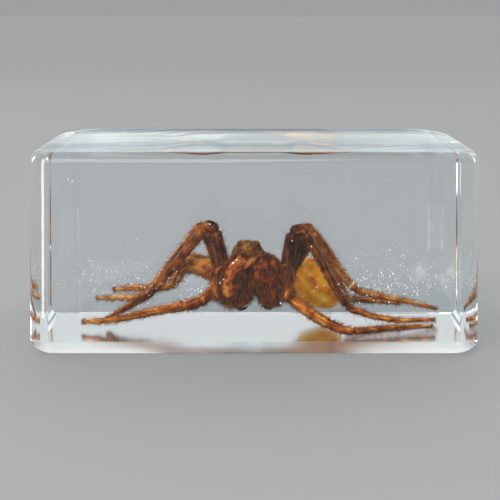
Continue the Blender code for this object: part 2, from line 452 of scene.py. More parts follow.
LEG_SHADES = (
    (0.00, (0.022, 0.004, 0.001)),
    (0.25, (0.110, 0.020, 0.003)),
    (0.50, (0.400, 0.095, 0.009)),
    (0.74, (0.800, 0.270, 0.028)),
    (1.00, (0.930, 0.520, 0.170)),
)
JAW_SHADES = (
    (0.00, (0.025, 0.004, 0.001)),
    (0.35, (0.150, 0.020, 0.004)),
    (0.62, (0.480, 0.075, 0.009)),
    (1.00, (0.900, 0.380, 0.060)),
)
CARAPACE_SHADES = (
    (0.00, (0.030, 0.011, 0.003)),
    (0.45, (0.200, 0.070, 0.010)),
    (0.75, (0.420, 0.170, 0.022)),
    (1.00, (0.640, 0.310, 0.050)),
)
ABDOMEN_SHADES = (
    (0.00, (0.260, 0.050, 0.003)),
    (0.32, (0.720, 0.200, 0.008)),
    (0.62, (0.940, 0.380, 0.015)),
    (1.00, (0.980, 0.640, 0.100)),
)
HAIR_SHADES = ((0.0, (0.050, 0.012, 0.003)), (0.6, (0.330, 0.100, 0.018)), (1.0, (0.800, 0.400, 0.120)))
BRISTLE_SHADES = ((0.0, (0.380, 0.070, 0.010)), (0.4, (0.950, 0.280, 0.035)), (1.0, (1.000, 0.640, 0.220)))


class Finish(Enum):
    """The finishes of the object's pieces."""

    LEG = SkinFinish("leg_skin", LEG_SHADES, streak_depth=0.62, blotch_depth=0.50, blotch_scale=750.0,
                     glow_reach=(0.30, 0.14, 0.06), clearness=0.12, painted_glow=0.08)
    JAW = SkinFinish("jaw_skin", JAW_SHADES, blotch_depth=0.85, blotch_scale=1100.0,
                     glow_reach=(0.35, 0.15, 0.06), painted_glow=0.06, bump=0.8)
    CARAPACE = SkinFinish("carapace_skin", CARAPACE_SHADES, blotch_depth=0.60, blotch_scale=1300.0,
                          roughness=(0.24, 0.45), glow=0.4, bump=0.7)
    ABDOMEN = SkinFinish("abdomen_skin", ABDOMEN_SHADES, streak_depth=0.5, blotch_depth=0.45, glow=0.10,
                         glow_reach=(0.35, 0.2, 0.1), painted_glow=0.32, bump=0.6)
    DARK = SkinFinish("fang_and_eye", ((0.0, (0.012, 0.003, 0.002)), (1.0, (0.130, 0.040, 0.010))), glow=0.0,
                      roughness=(0.10, 0.2), bump=0.05)
    HAIR = HairFinish("fine_hair", HAIR_SHADES)
    BRISTLE = HairFinish("jaw_bristle", BRISTLE_SHADES)
    RESIN = ResinFinish()
    BUBBLE = BubbleFinish()
    FLOOR = FloorFinish()

    def material(self) -> bpy.types.Material:
        """Give the finish's material, built the first time that it is asked for."""
        return bpy.data.materials.get(self.value.name) or self.value.material()


class MeshDraft:
    """Points and faces gathered for one piece, with the tone and strand values that finishes read."""

    def __init__(self) -> None:
        """Start with nothing."""
        self.points: list[Vector] = []
        self.faces: list[tuple[int, ...]] = []
        self.tones: list[float] = []
        self.strands: list[Vector] = []

    def point(self, place: Vector, tone: float, strand: Vector) -> int:
        """Add a point and give its number.

        Args:
            place: Where it is.
            tone: How pale the skin is there.
            strand: Its place on the pattern of lengthwise streaks.

        Returns:
            Its number.
        """
        self.points.append(place)
        self.tones.append(tone)
        self.strands.append(strand)
        return len(self.points) - 1

    def close_rings(self, rings: list[list[int]], start: int, end: int) -> None:
        """Add the faces between rings of points, and close both ends on a point.

        Args:
            rings: The numbers of the points of each ring, in order.
            start: The number of the point that closes the first ring.
            end: The number of the point that closes the last ring.
        """
        for ring, following in zip(rings, rings[1:]):
            for index in range(len(ring)):
                after = (index + 1) % len(ring)
                self.faces.append((ring[index], ring[after], following[after], following[index]))
        for index in range(len(rings[0])):
            after = (index + 1) % len(rings[0])
            self.faces.append((start, rings[0][after], rings[0][index]))
            self.faces.append((end, rings[-1][index], rings[-1][after]))

    def make(self, name: str, smooth: bool = True) -> bpy.types.Object:
        """Make the piece's object.

        Args:
            name: The object's name.
            smooth: Whether its faces are shaded smooth.

        Returns:
            The object, linked to the scene.
        """
        mesh = bpy.data.meshes.new(name)
        mesh.from_pydata([tuple(place) for place in self.points], [], self.faces)
        tone = mesh.attributes.new("tone", "FLOAT", "POINT")
        tone.data.foreach_set("value", self.tones)
        strand = mesh.attributes.new("strand", "FLOAT_VECTOR", "POINT")
        strand.data.foreach_set("vector", [number for place in self.strands for number in place])
        if smooth:
            mesh.shade_smooth()
        return add_object(name, mesh)


@dataclass(frozen=True)
class HairRoot:
    """Where a hair grows: its place, the skin's outward direction and the way that the hair leans."""

    place: Vector
    outward: Vector
    lean: Vector


@dataclass(frozen=True)
class Place:
    """A place on a limb's centre line, with its half width and half height there."""

    point: Vector
    wide: float
    high: float
    station: float


def course(stations: list[tuple[Vector, float, float]], steps: int = 24) -> list[Place]:
    """Read a smooth curve through a limb's stations.

    Args:
        stations: The point, half width and half height at each station.
        steps: How many places are read between one station and the next.

    Returns:
        Places along a Catmull-Rom curve.
    """
    rows = [(*point, wide, high) for point, wide, high in stations]
    first = tuple(2 * a - b for a, b in zip(rows[0][:3], rows[1][:3])) + rows[0][3:]
    last = tuple(2 * a - b for a, b in zip(rows[-1][:3], rows[-2][:3])) + rows[-1][3:]
    rows = [first, *rows, last]
    places = []
    for index in range(len(stations) - 1):
        for step in range(steps + (index == len(stations) - 2)):
            t = step / steps
            weights = (
                -0.5 * t + t * t - 0.5 * t ** 3,
                1.0 - 2.5 * t * t + 1.5 * t ** 3,
                0.5 * t + 2.0 * t * t - 1.5 * t ** 3,
                -0.5 * t * t + 0.5 * t ** 3,
            )
            row = [sum(w * v for w, v in zip(weights, values)) for values in zip(*rows[index:index + 4])]
            places.append(Place(Vector(row[:3]), row[3], row[4], index + t))
    return places


def tube(points: Iterable[Vector], radii: Iterable[float], steps: int = 24) -> list[Place]:
    """Read a smooth curve through points of a round limb.

    Args:
        points: The points, in metres.
        radii: The limb's radius at each point, in metres.
        steps: How many places are read between one point and the next.

    Returns:
        Places along the curve.
    """
    return course([(point, radius, radius) for point, radius in zip(points, radii)], steps)


def plain(*_: float) -> float:
    """Give 0 for any place: no relief."""
    return 0.0


def even(*_: float) -> float:
    """Give 1 for any place: no change of size."""
    return 1.0


# The sine of a line's angle to the upright, below which another direction sets its rings' turn.
NEAR_UPRIGHT = 0.05

# Where the rings of a rounded end are, as shares of its radius.
END_SHARES = (0.01, 0.06, 0.16, 0.32, 0.55, 0.8)


@dataclass
class Loft:
    """A closed skin round a centre line."""

    places: list[Place]
    sides: int = 20
    step: float = 0.12 * MM
    swell: Callable[[float, float], float] = even  # of the length so far and the station
    relief: Callable[[float, float], float] = plain  # of the turn and the length so far, in metres
    tone: Callable[[float, float], float] = plain  # of the turn and the station
    strand_pitch: float = 2.5 * MM  # the length along the limb of one streak
    phase: float = 0.0

    def __post_init__(self) -> None:
        """Work out how far along the line each place is, and the frame at each ring."""
        self.lengths = [0.0]
        for here, there in zip(self.places, self.places[1:]):
            self.lengths.append(self.lengths[-1] + (there.point - here.point).length)
        self.total = self.lengths[-1]
        self.stops = self.ring_lengths()
        self.rings = [self.place_at(length) for length in self.stops]
        self.frames = self.ring_frames()

    def ring_lengths(self) -> list[float]:
        """Place the rings, with more of them where the ends round off.

        Returns:
            How far along the line each ring is.
        """
        start = self.places[0].high
        end = self.places[-1].high
        count = max(2, round((self.total - start - end) / self.step))
        first = [share * start for share in END_SHARES]
        body = [blend(start, self.total - end, index / count) for index in range(count + 1)]
        last = [self.total - share * end for share in END_SHARES[::-1]]
        return first + body + last

    def place_at(self, length: float) -> Place:
        """Give the place that is a length along the line.

        Args:
            length: That length.

        Returns:
            The place, between the two given ones next to it.
        """
        index = 0
        while index < len(self.lengths) - 2 and self.lengths[index + 1] < length:
            index += 1
        here, there = self.places[index], self.places[index + 1]
        share = (length - self.lengths[index]) / max(self.lengths[index + 1] - self.lengths[index], 1e-9)
        return Place(
            here.point.lerp(there.point, share),
            blend(here.wide, there.wide, share),
            blend(here.high, there.high, share),
            blend(here.station, there.station, share),
        )

    def ring_frames(self) -> list[tuple[Vector, Vector, Vector]]:
        """Turn the rings along the line, each as little as the line allows.

        Returns:
            Each ring's sideways, upward and forward directions.
        """
        frames = []
        up = Vector((0.0, 0.0, 1.0))
        for index in range(len(self.rings)):
            before = self.rings[max(index - 1, 0)].point
            after = self.rings[min(index + 1, len(self.rings) - 1)].point
            forward = (after - before).normalized()
            side = forward.cross(up)
            if side.length < NEAR_UPRIGHT:
                side = forward.cross(Vector((0.0, -1.0, 0.0)))
            side.normalize()
            up = side.cross(forward).normalized()
            frames.append((side, up, forward))
        return frames

    def end_round(self, length: float) -> float:
        """Round the ends off.

        Args:
            length: How far along the line the skin is read.

        Returns:
            The share of its full radius that the skin has there.
        """
        start = min(length / self.places[0].high, 1.0)
        end = min((self.total - length) / self.places[-1].high, 1.0)
        nearest = max(min(start, end), 0.0)
        return math.sqrt(1.0 - (1.0 - nearest) ** 2)

    def skin(self, index: int, turn: float) -> tuple[Vector, Vector]:
        """Read the skin.

        Args:
            index: The number of the ring.
            turn: The turn round it.

        Returns:
            The place on the skin, and the outward direction there.
        """
        ring = self.rings[index]
        side, up, _ = self.frames[index]
        length = self.stops[index]
        rounding = self.end_round(length)
        size = self.swell(length, ring.station) * rounding
        across = side * math.cos(turn) * ring.wide + up * math.sin(turn) * ring.high
        outward = (side * math.cos(turn) / ring.wide + up * math.sin(turn) / ring.high).normalized()
        return ring.point + across * size + outward * self.relief(turn, length) * rounding, outward

    def add_to(self, draft: MeshDraft) -> None:
        """Add the skin to a piece.

        Args:
            draft: The piece's draft.
        """
        rings = []
        for index, (ring, length) in enumerate(zip(self.rings, self.stops)):
            numbers = []
            for side in range(self.sides):
                turn = FULL_TURN * side / self.sides
                strand = around(turn, 1.0, length / self.strand_pitch + self.phase)
                numbers.append(draft.point(self.skin(index, turn)[0], self.tone(turn, ring.station), strand))
            rings.append(numbers)
        ends = []
        for place, length in ((self.places[0], 0.0), (self.places[-1], self.total)):
            strand = Vector((0.0, 0.0, length / self.strand_pitch + self.phase))
            ends.append(draft.point(place.point, self.tone(0.0, place.station), strand))
        draft.close_rings(rings, *ends)

    def roots(self, draw: random.Random, count: int, first: float = 0.0, last: float = 1.0) -> list[HairRoot]:
        """Scatter hair roots over the skin. The hair leans towards the limb's end.

        Args:
            draw: The source of the scatter.
            count: How many there are.
            first: Where they start, as a share of the rings.
            last: Where they end, as a share of the rings.

        Returns:
            The hairs' roots.
        """
        made = []
        for _ in range(count):
            index = int(blend(first, last, draw.random()) * (len(self.rings) - 1))
            place, outward = self.skin(index, draw.random() * FULL_TURN)
            made.append(HairRoot(place, outward, self.frames[index][2]))
        return made


@dataclass
class HairCoat:
    """Many fine hairs joined in one mesh. Each is a bent spike with three sides."""

    name: str
    length: tuple[float, float] = (0.25 * MM, 0.6 * MM)
    thickness: float = 0.014 * MM
    lift: tuple[float, float] = (0.35, 0.8)  # how far a hair stands up, from 0 lying flat to 1 upright
    stray: float = 0.22
    bend: float = 0.55  # how far its outer half turns to the way that it leans
    taper: float = 0.75
    root_tone: float = 0.45  # the palest that a root is
    tone_rise: float = 0.25  # from the root to the middle, and from there to the tip
    seed: int = 1
    draft: MeshDraft = field(default_factory=MeshDraft)

    def grow(self, roots: Iterable[HairRoot], scale: float = 1.0) -> None:
        """Grow a hair on each root.

        Args:
            roots: Where the hairs grow.
            scale: How much longer and thicker they are than the coat's own.
        """
        draw = random.Random(self.seed + len(self.draft.points))
        for root in roots:
            lift = blend(*self.lift, draw.random())
            length = blend(*self.length, draw.random()) * scale
            stray = Vector((draw.uniform(-1, 1), draw.uniform(-1, 1), draw.uniform(-1, 1))) * self.stray
            heading = (root.outward * lift + root.lean * (1.0 - lift) + stray).normalized()
            bent = (heading + root.lean * self.bend).normalized()
            across = heading.orthogonal().normalized()
            other = heading.cross(across)
            middle = root.place + heading * length * 0.5
            tip = middle + bent * length * 0.5
            shade = draw.uniform(0.0, self.root_tone)
            levels = ((root.place, scale, shade), (middle, self.taper * scale, shade + self.tone_rise))
            rings = []
            for centre, size, tone in levels:
                ring = []
                for corner in range(3):
                    turn = FULL_TURN * corner / 3
                    spoke = across * math.cos(turn) + other * math.sin(turn)
                    place = centre + spoke * self.thickness * size
                    ring.append(self.draft.point(place, tone, Vector()))
                rings.append(ring)
            end = self.draft.point(tip, shade + 2.0 * self.tone_rise, Vector())
            low, high = rings
            self.draft.faces.append(tuple(low[::-1]))
            for corner in range(3):
                after = (corner + 1) % 3
                self.draft.faces.append((low[corner], low[after], high[after], high[corner]))
                self.draft.faces.append((high[corner], high[after], end))

    def make(self) -> bpy.types.Object:
        """Make the coat's object."""
        return self.draft.make(self.name, smooth=False)


def add_ball(draft: MeshDraft, matrix: Matrix, tone: float, sides: int = 12, rings: int = 8) -> None:
    """Add a ball, stretched and placed by a matrix, to a draft.

    Args:
        draft: The draft.
        matrix: What places a ball of radius 1.
        tone: Its tone.
        sides: How many points each ring has.
        rings: How many rings there are.
    """
    numbers = []
    for ring in range(1, rings):
        rise = math.pi * ring / rings
        row = []
        for side in range(sides):
            turn = FULL_TURN * side / sides
            across = math.sin(rise)
            place = Vector((across * math.cos(turn), across * math.sin(turn), -math.cos(rise)))
            row.append(draft.point(matrix @ place, tone, place))
        numbers.append(row)
    low = draft.point(matrix @ Vector((0.0, 0.0, -1.0)), tone, Vector((0.0, 0.0, -1.0)))
    high = draft.point(matrix @ Vector((0.0, 0.0, 1.0)), tone, Vector((0.0, 0.0, 1.0)))
    draft.close_rings(numbers, low, high)


def ball_matrix(place: Vector, radius: float) -> Matrix:
    """Give the matrix of a small ball, from its place in metres and its radius in mm."""
    return Matrix.Translation(place) @ Matrix.Scale(radius * MM, 4)


def lump_matrix(centre: Triple, half_sizes: Triple, turns: Triple) -> Matrix:
    """Give the matrix of a rounded part of the body.

    Args:
        centre: Its centre in mm.
        half_sizes: Its half sizes in mm.
        turns: Its turns about x, y and z in degrees.

    Returns:
        The matrix that makes it from a ball of radius 1.
    """
    matrix = Matrix.LocRotScale(None, Matrix.Identity(3), in_metres(half_sizes))
    for axis, angle in zip("XYZ", turns):
        matrix = Matrix.Rotation(math.radians(angle), 4, axis) @ matrix
    return Matrix.Translation(in_metres(centre)) @ matrix


def settle(piece: bpy.types.Object, finish: Finish, slot: Slot, *stands_for: Node) -> bpy.types.Object:
    """Dress a piece, tie it to the frame and report it.

    Args:
        piece: The piece.
        finish: Its finish.
        slot: The record's slot. It is not used.
        stands_for: The frame's nodes that it stands for.

    Returns:
        The piece.
    """
    piece.data.materials.append(finish.material())
    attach(piece, "root")
    if stands_for:
        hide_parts(*[node.value for node in stands_for])
    LOG.info("%s: %d faces", piece.name, len(piece.data.polygons))
    return piece


@dataclass
class Block:
    """The clear cast block, in one piece."""

    length: float
    depth: float
    height: float
    side_lean: float = 0.4 * MM
    front_corner: tuple[float, float] = (2.4 * MM, 4.8 * MM)  # how far its curve runs along x and along y
    back_corner: tuple[float, float] = (0.18 * MM, 0.22 * MM)
    base_back_corner: tuple[float, float] = (2.0 * MM, 1.6 * MM)  # of the flat base, with its edge added
    worn_back_corner: tuple[float, float] = (6.0 * MM, 12.5 * MM)  # of the flat top, worn down by polishing
    edge_round: float = 1.1 * MM
    back_base_round: float = 0.15 * MM
    front_base_round: float = 1.5 * MM
    front_base_tilt: tuple[float, float] = (30.0, 58.0)  # degrees, at that edge's top and foot
    corner_steps: int = 24
    edge_steps: int = 12
    crease: float = math.radians(1.0)  # how much of the base's edge each of its two creases takes

    @classmethod
    def from_frame(cls) -> "Block":
        """Take the block's size from the two pours of the frame.

        Returns:
            The block.
        """
        low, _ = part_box(Node.LOWER_POUR.value)
        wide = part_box(Node.LOWER_POUR.value)[1] - low
        _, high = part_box(Node.UPPER_POUR.value)
        return cls(length=wide.x, depth=wide.y, height=high.z)

    def outline(self, back_corner: tuple[float, float]) -> list[tuple[Vector, Vector]]:
        """Give an outline of the block.

        Args:
            back_corner: How far each back corner's curve runs along x and along y.

        Returns:
            Its points, each with its outward direction. The directions are the same for any back corner.
        """
        points = []
        for quarter, (right, back) in enumerate(((1, 1), (-1, 1), (-1, -1), (1, -1))):
            wide, deep = back_corner if back > 0 else self.front_corner
            centre = Vector((right * (self.length / 2 - wide), back * (self.depth / 2 - deep), 0.0))
            for step in range(self.corner_steps + 1):
                turn = QUARTER_TURN * (quarter + step / self.corner_steps)
                outward = Vector((math.cos(turn), math.sin(turn), 0.0))
                curve = Vector((wide * wide * outward.x, deep * deep * outward.y, 0.0))
                points.append((centre + curve / math.hypot(wide * outward.x, deep * outward.y), outward))
        return points

    def edge_radius(self, top: bool, outward: Vector) -> float:
        """Give the radius of the top's or the base's edge. The base's is smallest at the back.

        Args:
            top: Whether it is the top's edge.
            outward: The outward direction of the wall.

        Returns:
            The radius.
        """
        if top:
            return self.edge_round
        special = self.back_base_round if outward.y > 0.0 else self.front_base_round
        return blend(self.edge_round, special, abs(outward.y))

    def ring(self, top: bool, tilt: float) -> list[tuple[Vector, Vector]]:
        """Give one ring of points on the block.

        Args:
            top: Whether it is on the top's edge, and not on the base's.
            tilt: Where it is on that edge, from 0 at the wall to a quarter turn at the flat. It is below 0 on
                the base's edge.

        Returns:
            Its points, each with the skin's normal there.
        """
        points = []
        wall_tilt = math.atan2(self.side_lean, self.height)
        flat = self.outline(self.worn_back_corner if top else self.base_back_corner)
        for (place, outward), (rim_highlight, _) in zip(self.outline(self.back_corner), flat):
            radius = self.edge_radius(top, outward)
            inward = rim_highlight - outward * radius - place
            worn = 0.0 if top else max(0.0, -outward.y) ** 2
            steepness = abs(tilt) / QUARTER_TURN
            rise = radius * (1.0 - blend(math.sin(abs(tilt)), steepness, worn))
            height = self.height - rise if top else rise
            lean = self.side_lean * height / self.height
            inner = place + inward * blend(1.0 - math.cos(tilt), steepness, worn)
            inner -= Vector((math.copysign(lean, place.x), math.copysign(lean, place.y), -height))
            facing = math.atan2(-inward.dot(outward) * math.sin(tilt), radius * math.cos(tilt))
            facing += wall_tilt * (1.0 - steepness)
            if 0.0 < steepness < 1.0:
                ground = -math.radians(blend(*self.front_base_tilt, steepness))
                facing = blend(facing, ground, worn)
            points.append((inner, outward * math.cos(facing) + Vector((0.0, 0.0, math.sin(facing)))))
        return points

    def levels(self) -> list[tuple[bool, float]]:
        """List the rings from the base to the top.

        Returns:
            For each, whether it is on the top's edge, and its tilt.
        """
        tilts = [QUARTER_TURN * step / self.edge_steps for step in range(self.edge_steps + 1)]
        base = [tilts[0], self.crease, *tilts[1:-1], tilts[-1] - self.crease, tilts[-1]]
        return [(False, -tilt) for tilt in base[::-1]] + [(True, tilt) for tilt in tilts]

    def build(self) -> bpy.types.Object:
        """Build the block.

        Returns:
            Its object, with exact normals on its flats and rounds.
        """
        shape = bmesh.new()
        rings = []
        normals = []
        for top, tilt in self.levels():
            points = self.ring(top, tilt)
            rings.append([shape.verts.new(place) for place, _ in points])
            normals.extend(normal for _, normal in points)
        for ring, following in zip(rings, rings[1:]):
            for index in range(len(ring)):
                after = (index + 1) % len(ring)
                shape.faces.new((ring[index], ring[after], following[after], following[index]))
        shape.faces.new(rings[0][::-1])
        shape.faces.new(rings[-1])
        mesh = bpy.data.meshes.new("block")
        shape.to_mesh(mesh)
        shape.free()
        mesh.shade_smooth()
        mesh.normals_split_custom_set_from_vertices(normals)
        return settle(add_object("block", mesh), Finish.RESIN, Slot.RESIN, Node.LOWER_POUR, Node.UPPER_POUR)


STATION_RADII = {
    "coxa": 0.80,
    "trochanter": 0.66,
    "femur": 0.66,
    "femur_end": 0.54,
    "knee": 0.56,
    "tibia": 0.50,
    "tibia_end": 0.40,
    "metatarsus": 0.34,
    "metatarsus_end": 0.28,
    "claw": 0.17,
}

# Where each leg's stations are, in mm.
LEGS = {
    "left_1": (
        (-1.0, 2.6, 5.3), (-2.9, 1.0, 4.9), (-4.2, -1.6, 4.5), (-5.2, -3.4, 3.95), (-6.1, -3.9, 3.65),
        (-7.3, -3.2, 3.3), (-11.1, -1.0, 2.25), (-13.7, 0.6, 1.45), (-15.4, 1.6, 1.05), (-17.6, 2.6, 0.85),
    ),
    "left_2": (
        (-1.0, 3.2, 5.2), (-2.7, 2.8, 4.9), (-3.2, 3.0, 7.2), (-3.7, 3.1, 9.6), (-4.4, 3.3, 10.7),
        (-5.4, 3.4, 10.0), (-10.0, 3.8, 4.3), (-12.5, 4.2, 2.5), (-14.1, 4.6, 1.5), (-15.2, 4.9, 0.85),
    ),
    "left_3": (
        (-1.0, 4.2, 5.2), (-2.9, 4.9, 5.0), (-3.8, 5.5, 7.2), (-4.7, 6.0, 9.2), (-5.4, 6.3, 10.1),
        (-6.4, 6.6, 9.2), (-11.0, 8.1, 3.3), (-12.6, 8.5, 2.55), (-14.4, 8.9, 2.4), (-16.6, 9.4, 2.3),
    ),
    "left_4": (
        (-0.9, 5.2, 5.1), (-2.9, 6.9, 5.1), (-4.7, 8.1, 5.6), (-6.4, 9.0, 6.1), (-7.4, 9.5, 5.7),
        (-7.9, 9.7, 4.8), (-8.7, 10.0, 3.6), (-10.8, 10.3, 3.25), (-12.9, 10.7, 3.2), (-14.9, 11.0, 3.0),
    ),
    "right_1": (
        (1.2, 2.6, 5.2), (3.1, 0.7, 4.3), (4.4, -1.8, 3.4), (5.7, -4.0, 2.7), (6.7, -5.4, 2.3),
        (7.7, -6.5, 1.9), (9.5, -7.0, 1.4), (12.8, -4.6, 1.25), (14.9, -3.2, 1.15), (18.0, -1.4, 1.0),
    ),
    "right_2": (
        (1.2, 3.2, 5.1), (3.3, 2.9, 4.5), (3.5, 3.0, 7.0), (3.8, 3.1, 9.3), (4.6, 3.3, 10.3),
        (5.6, 3.5, 9.4), (9.3, 4.0, 2.8), (11.3, 3.1, 1.7), (14.4, 2.0, 1.1), (18.6, 2.8, 1.0),
    ),
    "right_3": (
        (1.2, 4.2, 5.1), (3.2, 4.9, 4.8), (3.9, 5.4, 7.0), (4.6, 6.0, 9.0), (5.3, 6.35, 9.95),
        (6.4, 6.7, 9.3), (10.4, 8.1, 3.8), (12.8, 8.5, 2.8), (15.5, 8.8, 2.2), (19.4, 9.3, 1.2),
    ),
    "right_4": (
        (1.1, 5.2, 5.0), (3.0, 6.0, 4.8), (4.2, 6.6, 6.6), (5.4, 7.1, 8.2), (6.4, 7.6, 8.7),
        (7.2, 8.0, 7.9), (9.6, 8.9, 2.9), (10.9, 9.9, 2.1), (12.9, 10.8, 1.8), (15.5, 11.2, 1.5),
    ),
}

# By what share a leg's thigh is thicker than the plain ones.
LEG_GIRTHS = {"left_4": 0.95, "left_3": 0.10, "right_2": 0.12, "right_3": 0.20, "right_4": 0.30}

# How pale each leg's thigh, shin and tip are, from 0 to 1.
LEG_TONES = {
    "left_1": (0.50, 0.56, 0.68),
    "left_2": (0.20, 0.34, 0.52),
    "left_3": (0.26, 0.46, 0.86),
    "left_4": (0.68, 0.62, 0.80),
    "right_1": (0.48, 0.46, 0.70),
    "right_2": (0.06, 0.30, 0.64),
    "right_3": (0.24, 0.62, 0.66),
    "right_4": (0.40, 0.68, 0.74),
}


# A claw's points: how far forwards, sideways and up they are, and how thick it is there, all as shares.
CLAW_POINTS = (
    (0.0, 0.0, 0.0, 1.0),
    (0.45, 0.25, 0.18, 0.9),
    (0.85, 0.38, 0.05, 0.6),
    (1.0, 0.42, -0.28, 0.2),
)


@dataclass
class Leg:
    """One leg: seven segments with pinched joints, two claws, and hair. Stations are numbered from 0 to 9."""

    label: str
    seed: int
    thigh: tuple[float, float] = (2.8, 1.5)  # the station where it is thickest, and its reach in stations
    joint_pinch: float = 0.26
    pinch_reach: float = 0.17 * MM
    collar: float = 0.10
    collar_place: float = 2.4  # how far from the joint it is, in reaches of the pinch
    collar_reach: float = 1.6  # in reaches of the pinch
    fold_depth: float = 0.03 * MM
    fold_length: float = 2.2 * MM
    fold_scale: float = 1.4
    knee: tuple[float, float] = (3.5, 4.5)  # the stations where the thigh's tone starts and ends to change
    tip: tuple[float, float] = (6.0, 2.2)  # the station where the shin's tone starts to change, and its reach
    dark_band: tuple[float, float] = (0.12, 0.07)  # how dark it is at a joint, and its reach
    pale_band: tuple[float, float] = (0.10, 0.1)  # how pale it is above a joint, and its reach
    pale_band_gap: float = 0.2
    top_shade: float = 0.05
    claw_length: float = 0.34 * MM
    claw_radius: float = 0.045 * MM
    claw_root: float = 0.08 * MM  # how far inside the leg's end the claws start

    def __post_init__(self) -> None:
        """Lay out the leg's centre line and skin."""
        radii = [radius * MM for radius in STATION_RADII.values()]
        points = [in_metres(place) for place in LEGS[self.label]]
        self.line = tube(points, radii)
        self.loft = Loft(self.line, sides=20, step=0.11 * MM, tone=self.tone, strand_pitch=5.0 * MM,
                         phase=7.0 * self.seed)
        self.joints = [self.length_at(segment.value[1]) for segment in list(Segment)[:-1]]
        self.loft.swell = self.swell
        self.loft.relief = self.relief

    def length_at(self, station: float) -> float:
        """Give how far along the leg a station is."""
        for place, length in zip(self.loft.places, self.loft.lengths):
            if place.station >= station:
                return length
        return self.loft.total

    def swell(self, length: float, station: float) -> float:
        """Pinch the leg at each joint, with a collar on both sides of it.

        Args:
            length: How far along the leg the skin is.
            station: The station there.

        Returns:
            The leg's size as a share of its plain radius.
        """
        middle, reach = self.thigh
        size = 1.0 + LEG_GIRTHS.get(self.label, 0.0) * bell(station - middle, reach)
        for joint in self.joints:
            gap = length - joint
            size -= self.joint_pinch * bell(gap, self.pinch_reach)
            collar_gap = abs(gap) - self.collar_place * self.pinch_reach
            size += self.collar * bell(collar_gap, self.collar_reach * self.pinch_reach)
        return size

    def relief(self, turn: float, length: float) -> float:
        """Give the height of the dried leg's lengthwise folds."""
        spot = around(turn, self.fold_scale, length / self.fold_length + self.seed * 5.0)
        return noise.noise(spot) * 2.0 * self.fold_depth

    def tone(self, turn: float, station: float) -> float:
        """Shade the skin by segment, with dark bands at the joints and a paler underside.

        Args:
            turn: The turn round the leg.
            station: The station along it.

        Returns:
            How pale it is.
        """
        thigh, shin, tip = LEG_TONES[self.label]
        first, last = self.knee
        if station < last:
            tone = blend(thigh, shin, limited((station - first) / (last - first)))
        else:
            tone = blend(shin, tip, limited((station - self.tip[0]) / self.tip[1]))
        for segment in Segment:
            past = station - segment.value[1]
            tone -= self.dark_band[0] * bell(past, self.dark_band[1])
            tone += self.pale_band[0] * bell(past + self.pale_band_gap, self.pale_band[1])
        return limited(tone - self.top_shade * math.sin(turn))

    def add_claws(self, draft: MeshDraft) -> None:
        """Add the two hooked claws at the leg's end.

        Args:
            draft: The draft that they go in.
        """
        side, up, forward = self.loft.frames[-1]
        end = self.line[-1].point - forward * self.claw_root
        for sign in (-1, 1):
            hook = [end + (forward * ahead + side * sign * aside + up * rise) * self.claw_length
                    for ahead, aside, rise, _ in CLAW_POINTS]
            sizes = [self.claw_radius * share for *_, share in CLAW_POINTS]
            Loft(tube(hook, sizes, steps=4), sides=6, step=0.05 * MM).add_to(draft)

    def add_to(self, draft: MeshDraft) -> None:
        """Add the leg to a piece's draft."""
        self.loft.add_to(draft)
        self.add_claws(draft)

    def grow_hair(self, coat: HairCoat, count: int, spines: int) -> None:
        """Grow the leg's fine hair, and a few long spines on its shin.

        Args:
            coat: The coat that the hair goes in.
            count: How many fine hairs there are.
            spines: How many spines there are.
        """
        draw = random.Random(self.seed)
        coat.grow(self.loft.roots(draw, count, first=0.08))
        coat.grow(self.loft.roots(draw, spines, first=0.35, last=0.85), scale=1.9)


# The palps' stations in mm, and their radii in mm.
PALP_RADII = (0.42, 0.44, 0.42, 0.40, 0.22)
PALPS = {
    Side.LEFT: ((-1.4, 1.6, 5.6), (-3.1, -0.2, 6.8), (-3.9, -1.5, 6.6), (-4.0, -2.1, 5.2), (-3.6, -2.2, 3.8)),
    Side.RIGHT: ((1.5, 1.6, 5.6), (3.0, 0.0, 6.7), (3.6, -1.2, 6.4), (3.6, -1.8, 5.0), (3.1, -2.0, 3.7)),
}

# The rounded parts of the body: centre and half sizes in mm, and turns about x, y and z in degrees.
CARAPACE_LUMPS = (
    ((0.1, 3.6, 6.2), (2.9, 3.9, 1.9), (-4.0, 0.0, 8.0)),
    ((-0.6, 1.5, 7.6), (1.75, 2.0, 1.9), (-10.0, 0.0, 10.0)),
    ((-1.30, 0.7, 9.18), (0.46, 0.50, 0.44), (0.0, 0.0, 0.0)),
    ((0.18, 0.6, 9.12), (0.50, 0.50, 0.44), (0.0, 0.0, 0.0)),
)

# The jaws' centre lines in mm, each with its half width and half depth there.
JAWS = {
    Side.LEFT: (((-1.1, 0.8, 7.4), 0.9, 0.8), ((-1.5, -0.5, 6.9), 1.50, 1.25), ((-1.9, -1.0, 5.4), 1.95, 1.5),
                ((-1.85, -0.9, 3.9), 1.75, 1.4), ((-1.7, -0.6, 2.75), 1.05, 0.8)),
    Side.RIGHT: (((0.8, 0.9, 7.4), 0.90, 0.8), ((1.15, -0.2, 6.9), 1.45, 1.2), ((1.55, -0.6, 5.4), 1.65, 1.4),
                 ((1.85, -0.5, 3.9), 1.40, 1.25), ((1.95, -0.3, 2.8), 0.85, 0.7)),
}


# The tone of each jaw, and how much paler its middle is.
JAW_TONES = {Side.LEFT: (0.20, 0.32), Side.RIGHT: (0.24, 0.08)}

# A fang's points in mm, as how far inwards, back and up they are, and how thick it is there as a share.
FANG_POINTS = (
    (0.0, 0.1, 0.5, 1.2),
    (0.25, 0.15, -0.05, 1.0),
    (0.75, 0.35, -0.1, 0.62),
    (1.15, 0.55, 0.15, 0.15),
)


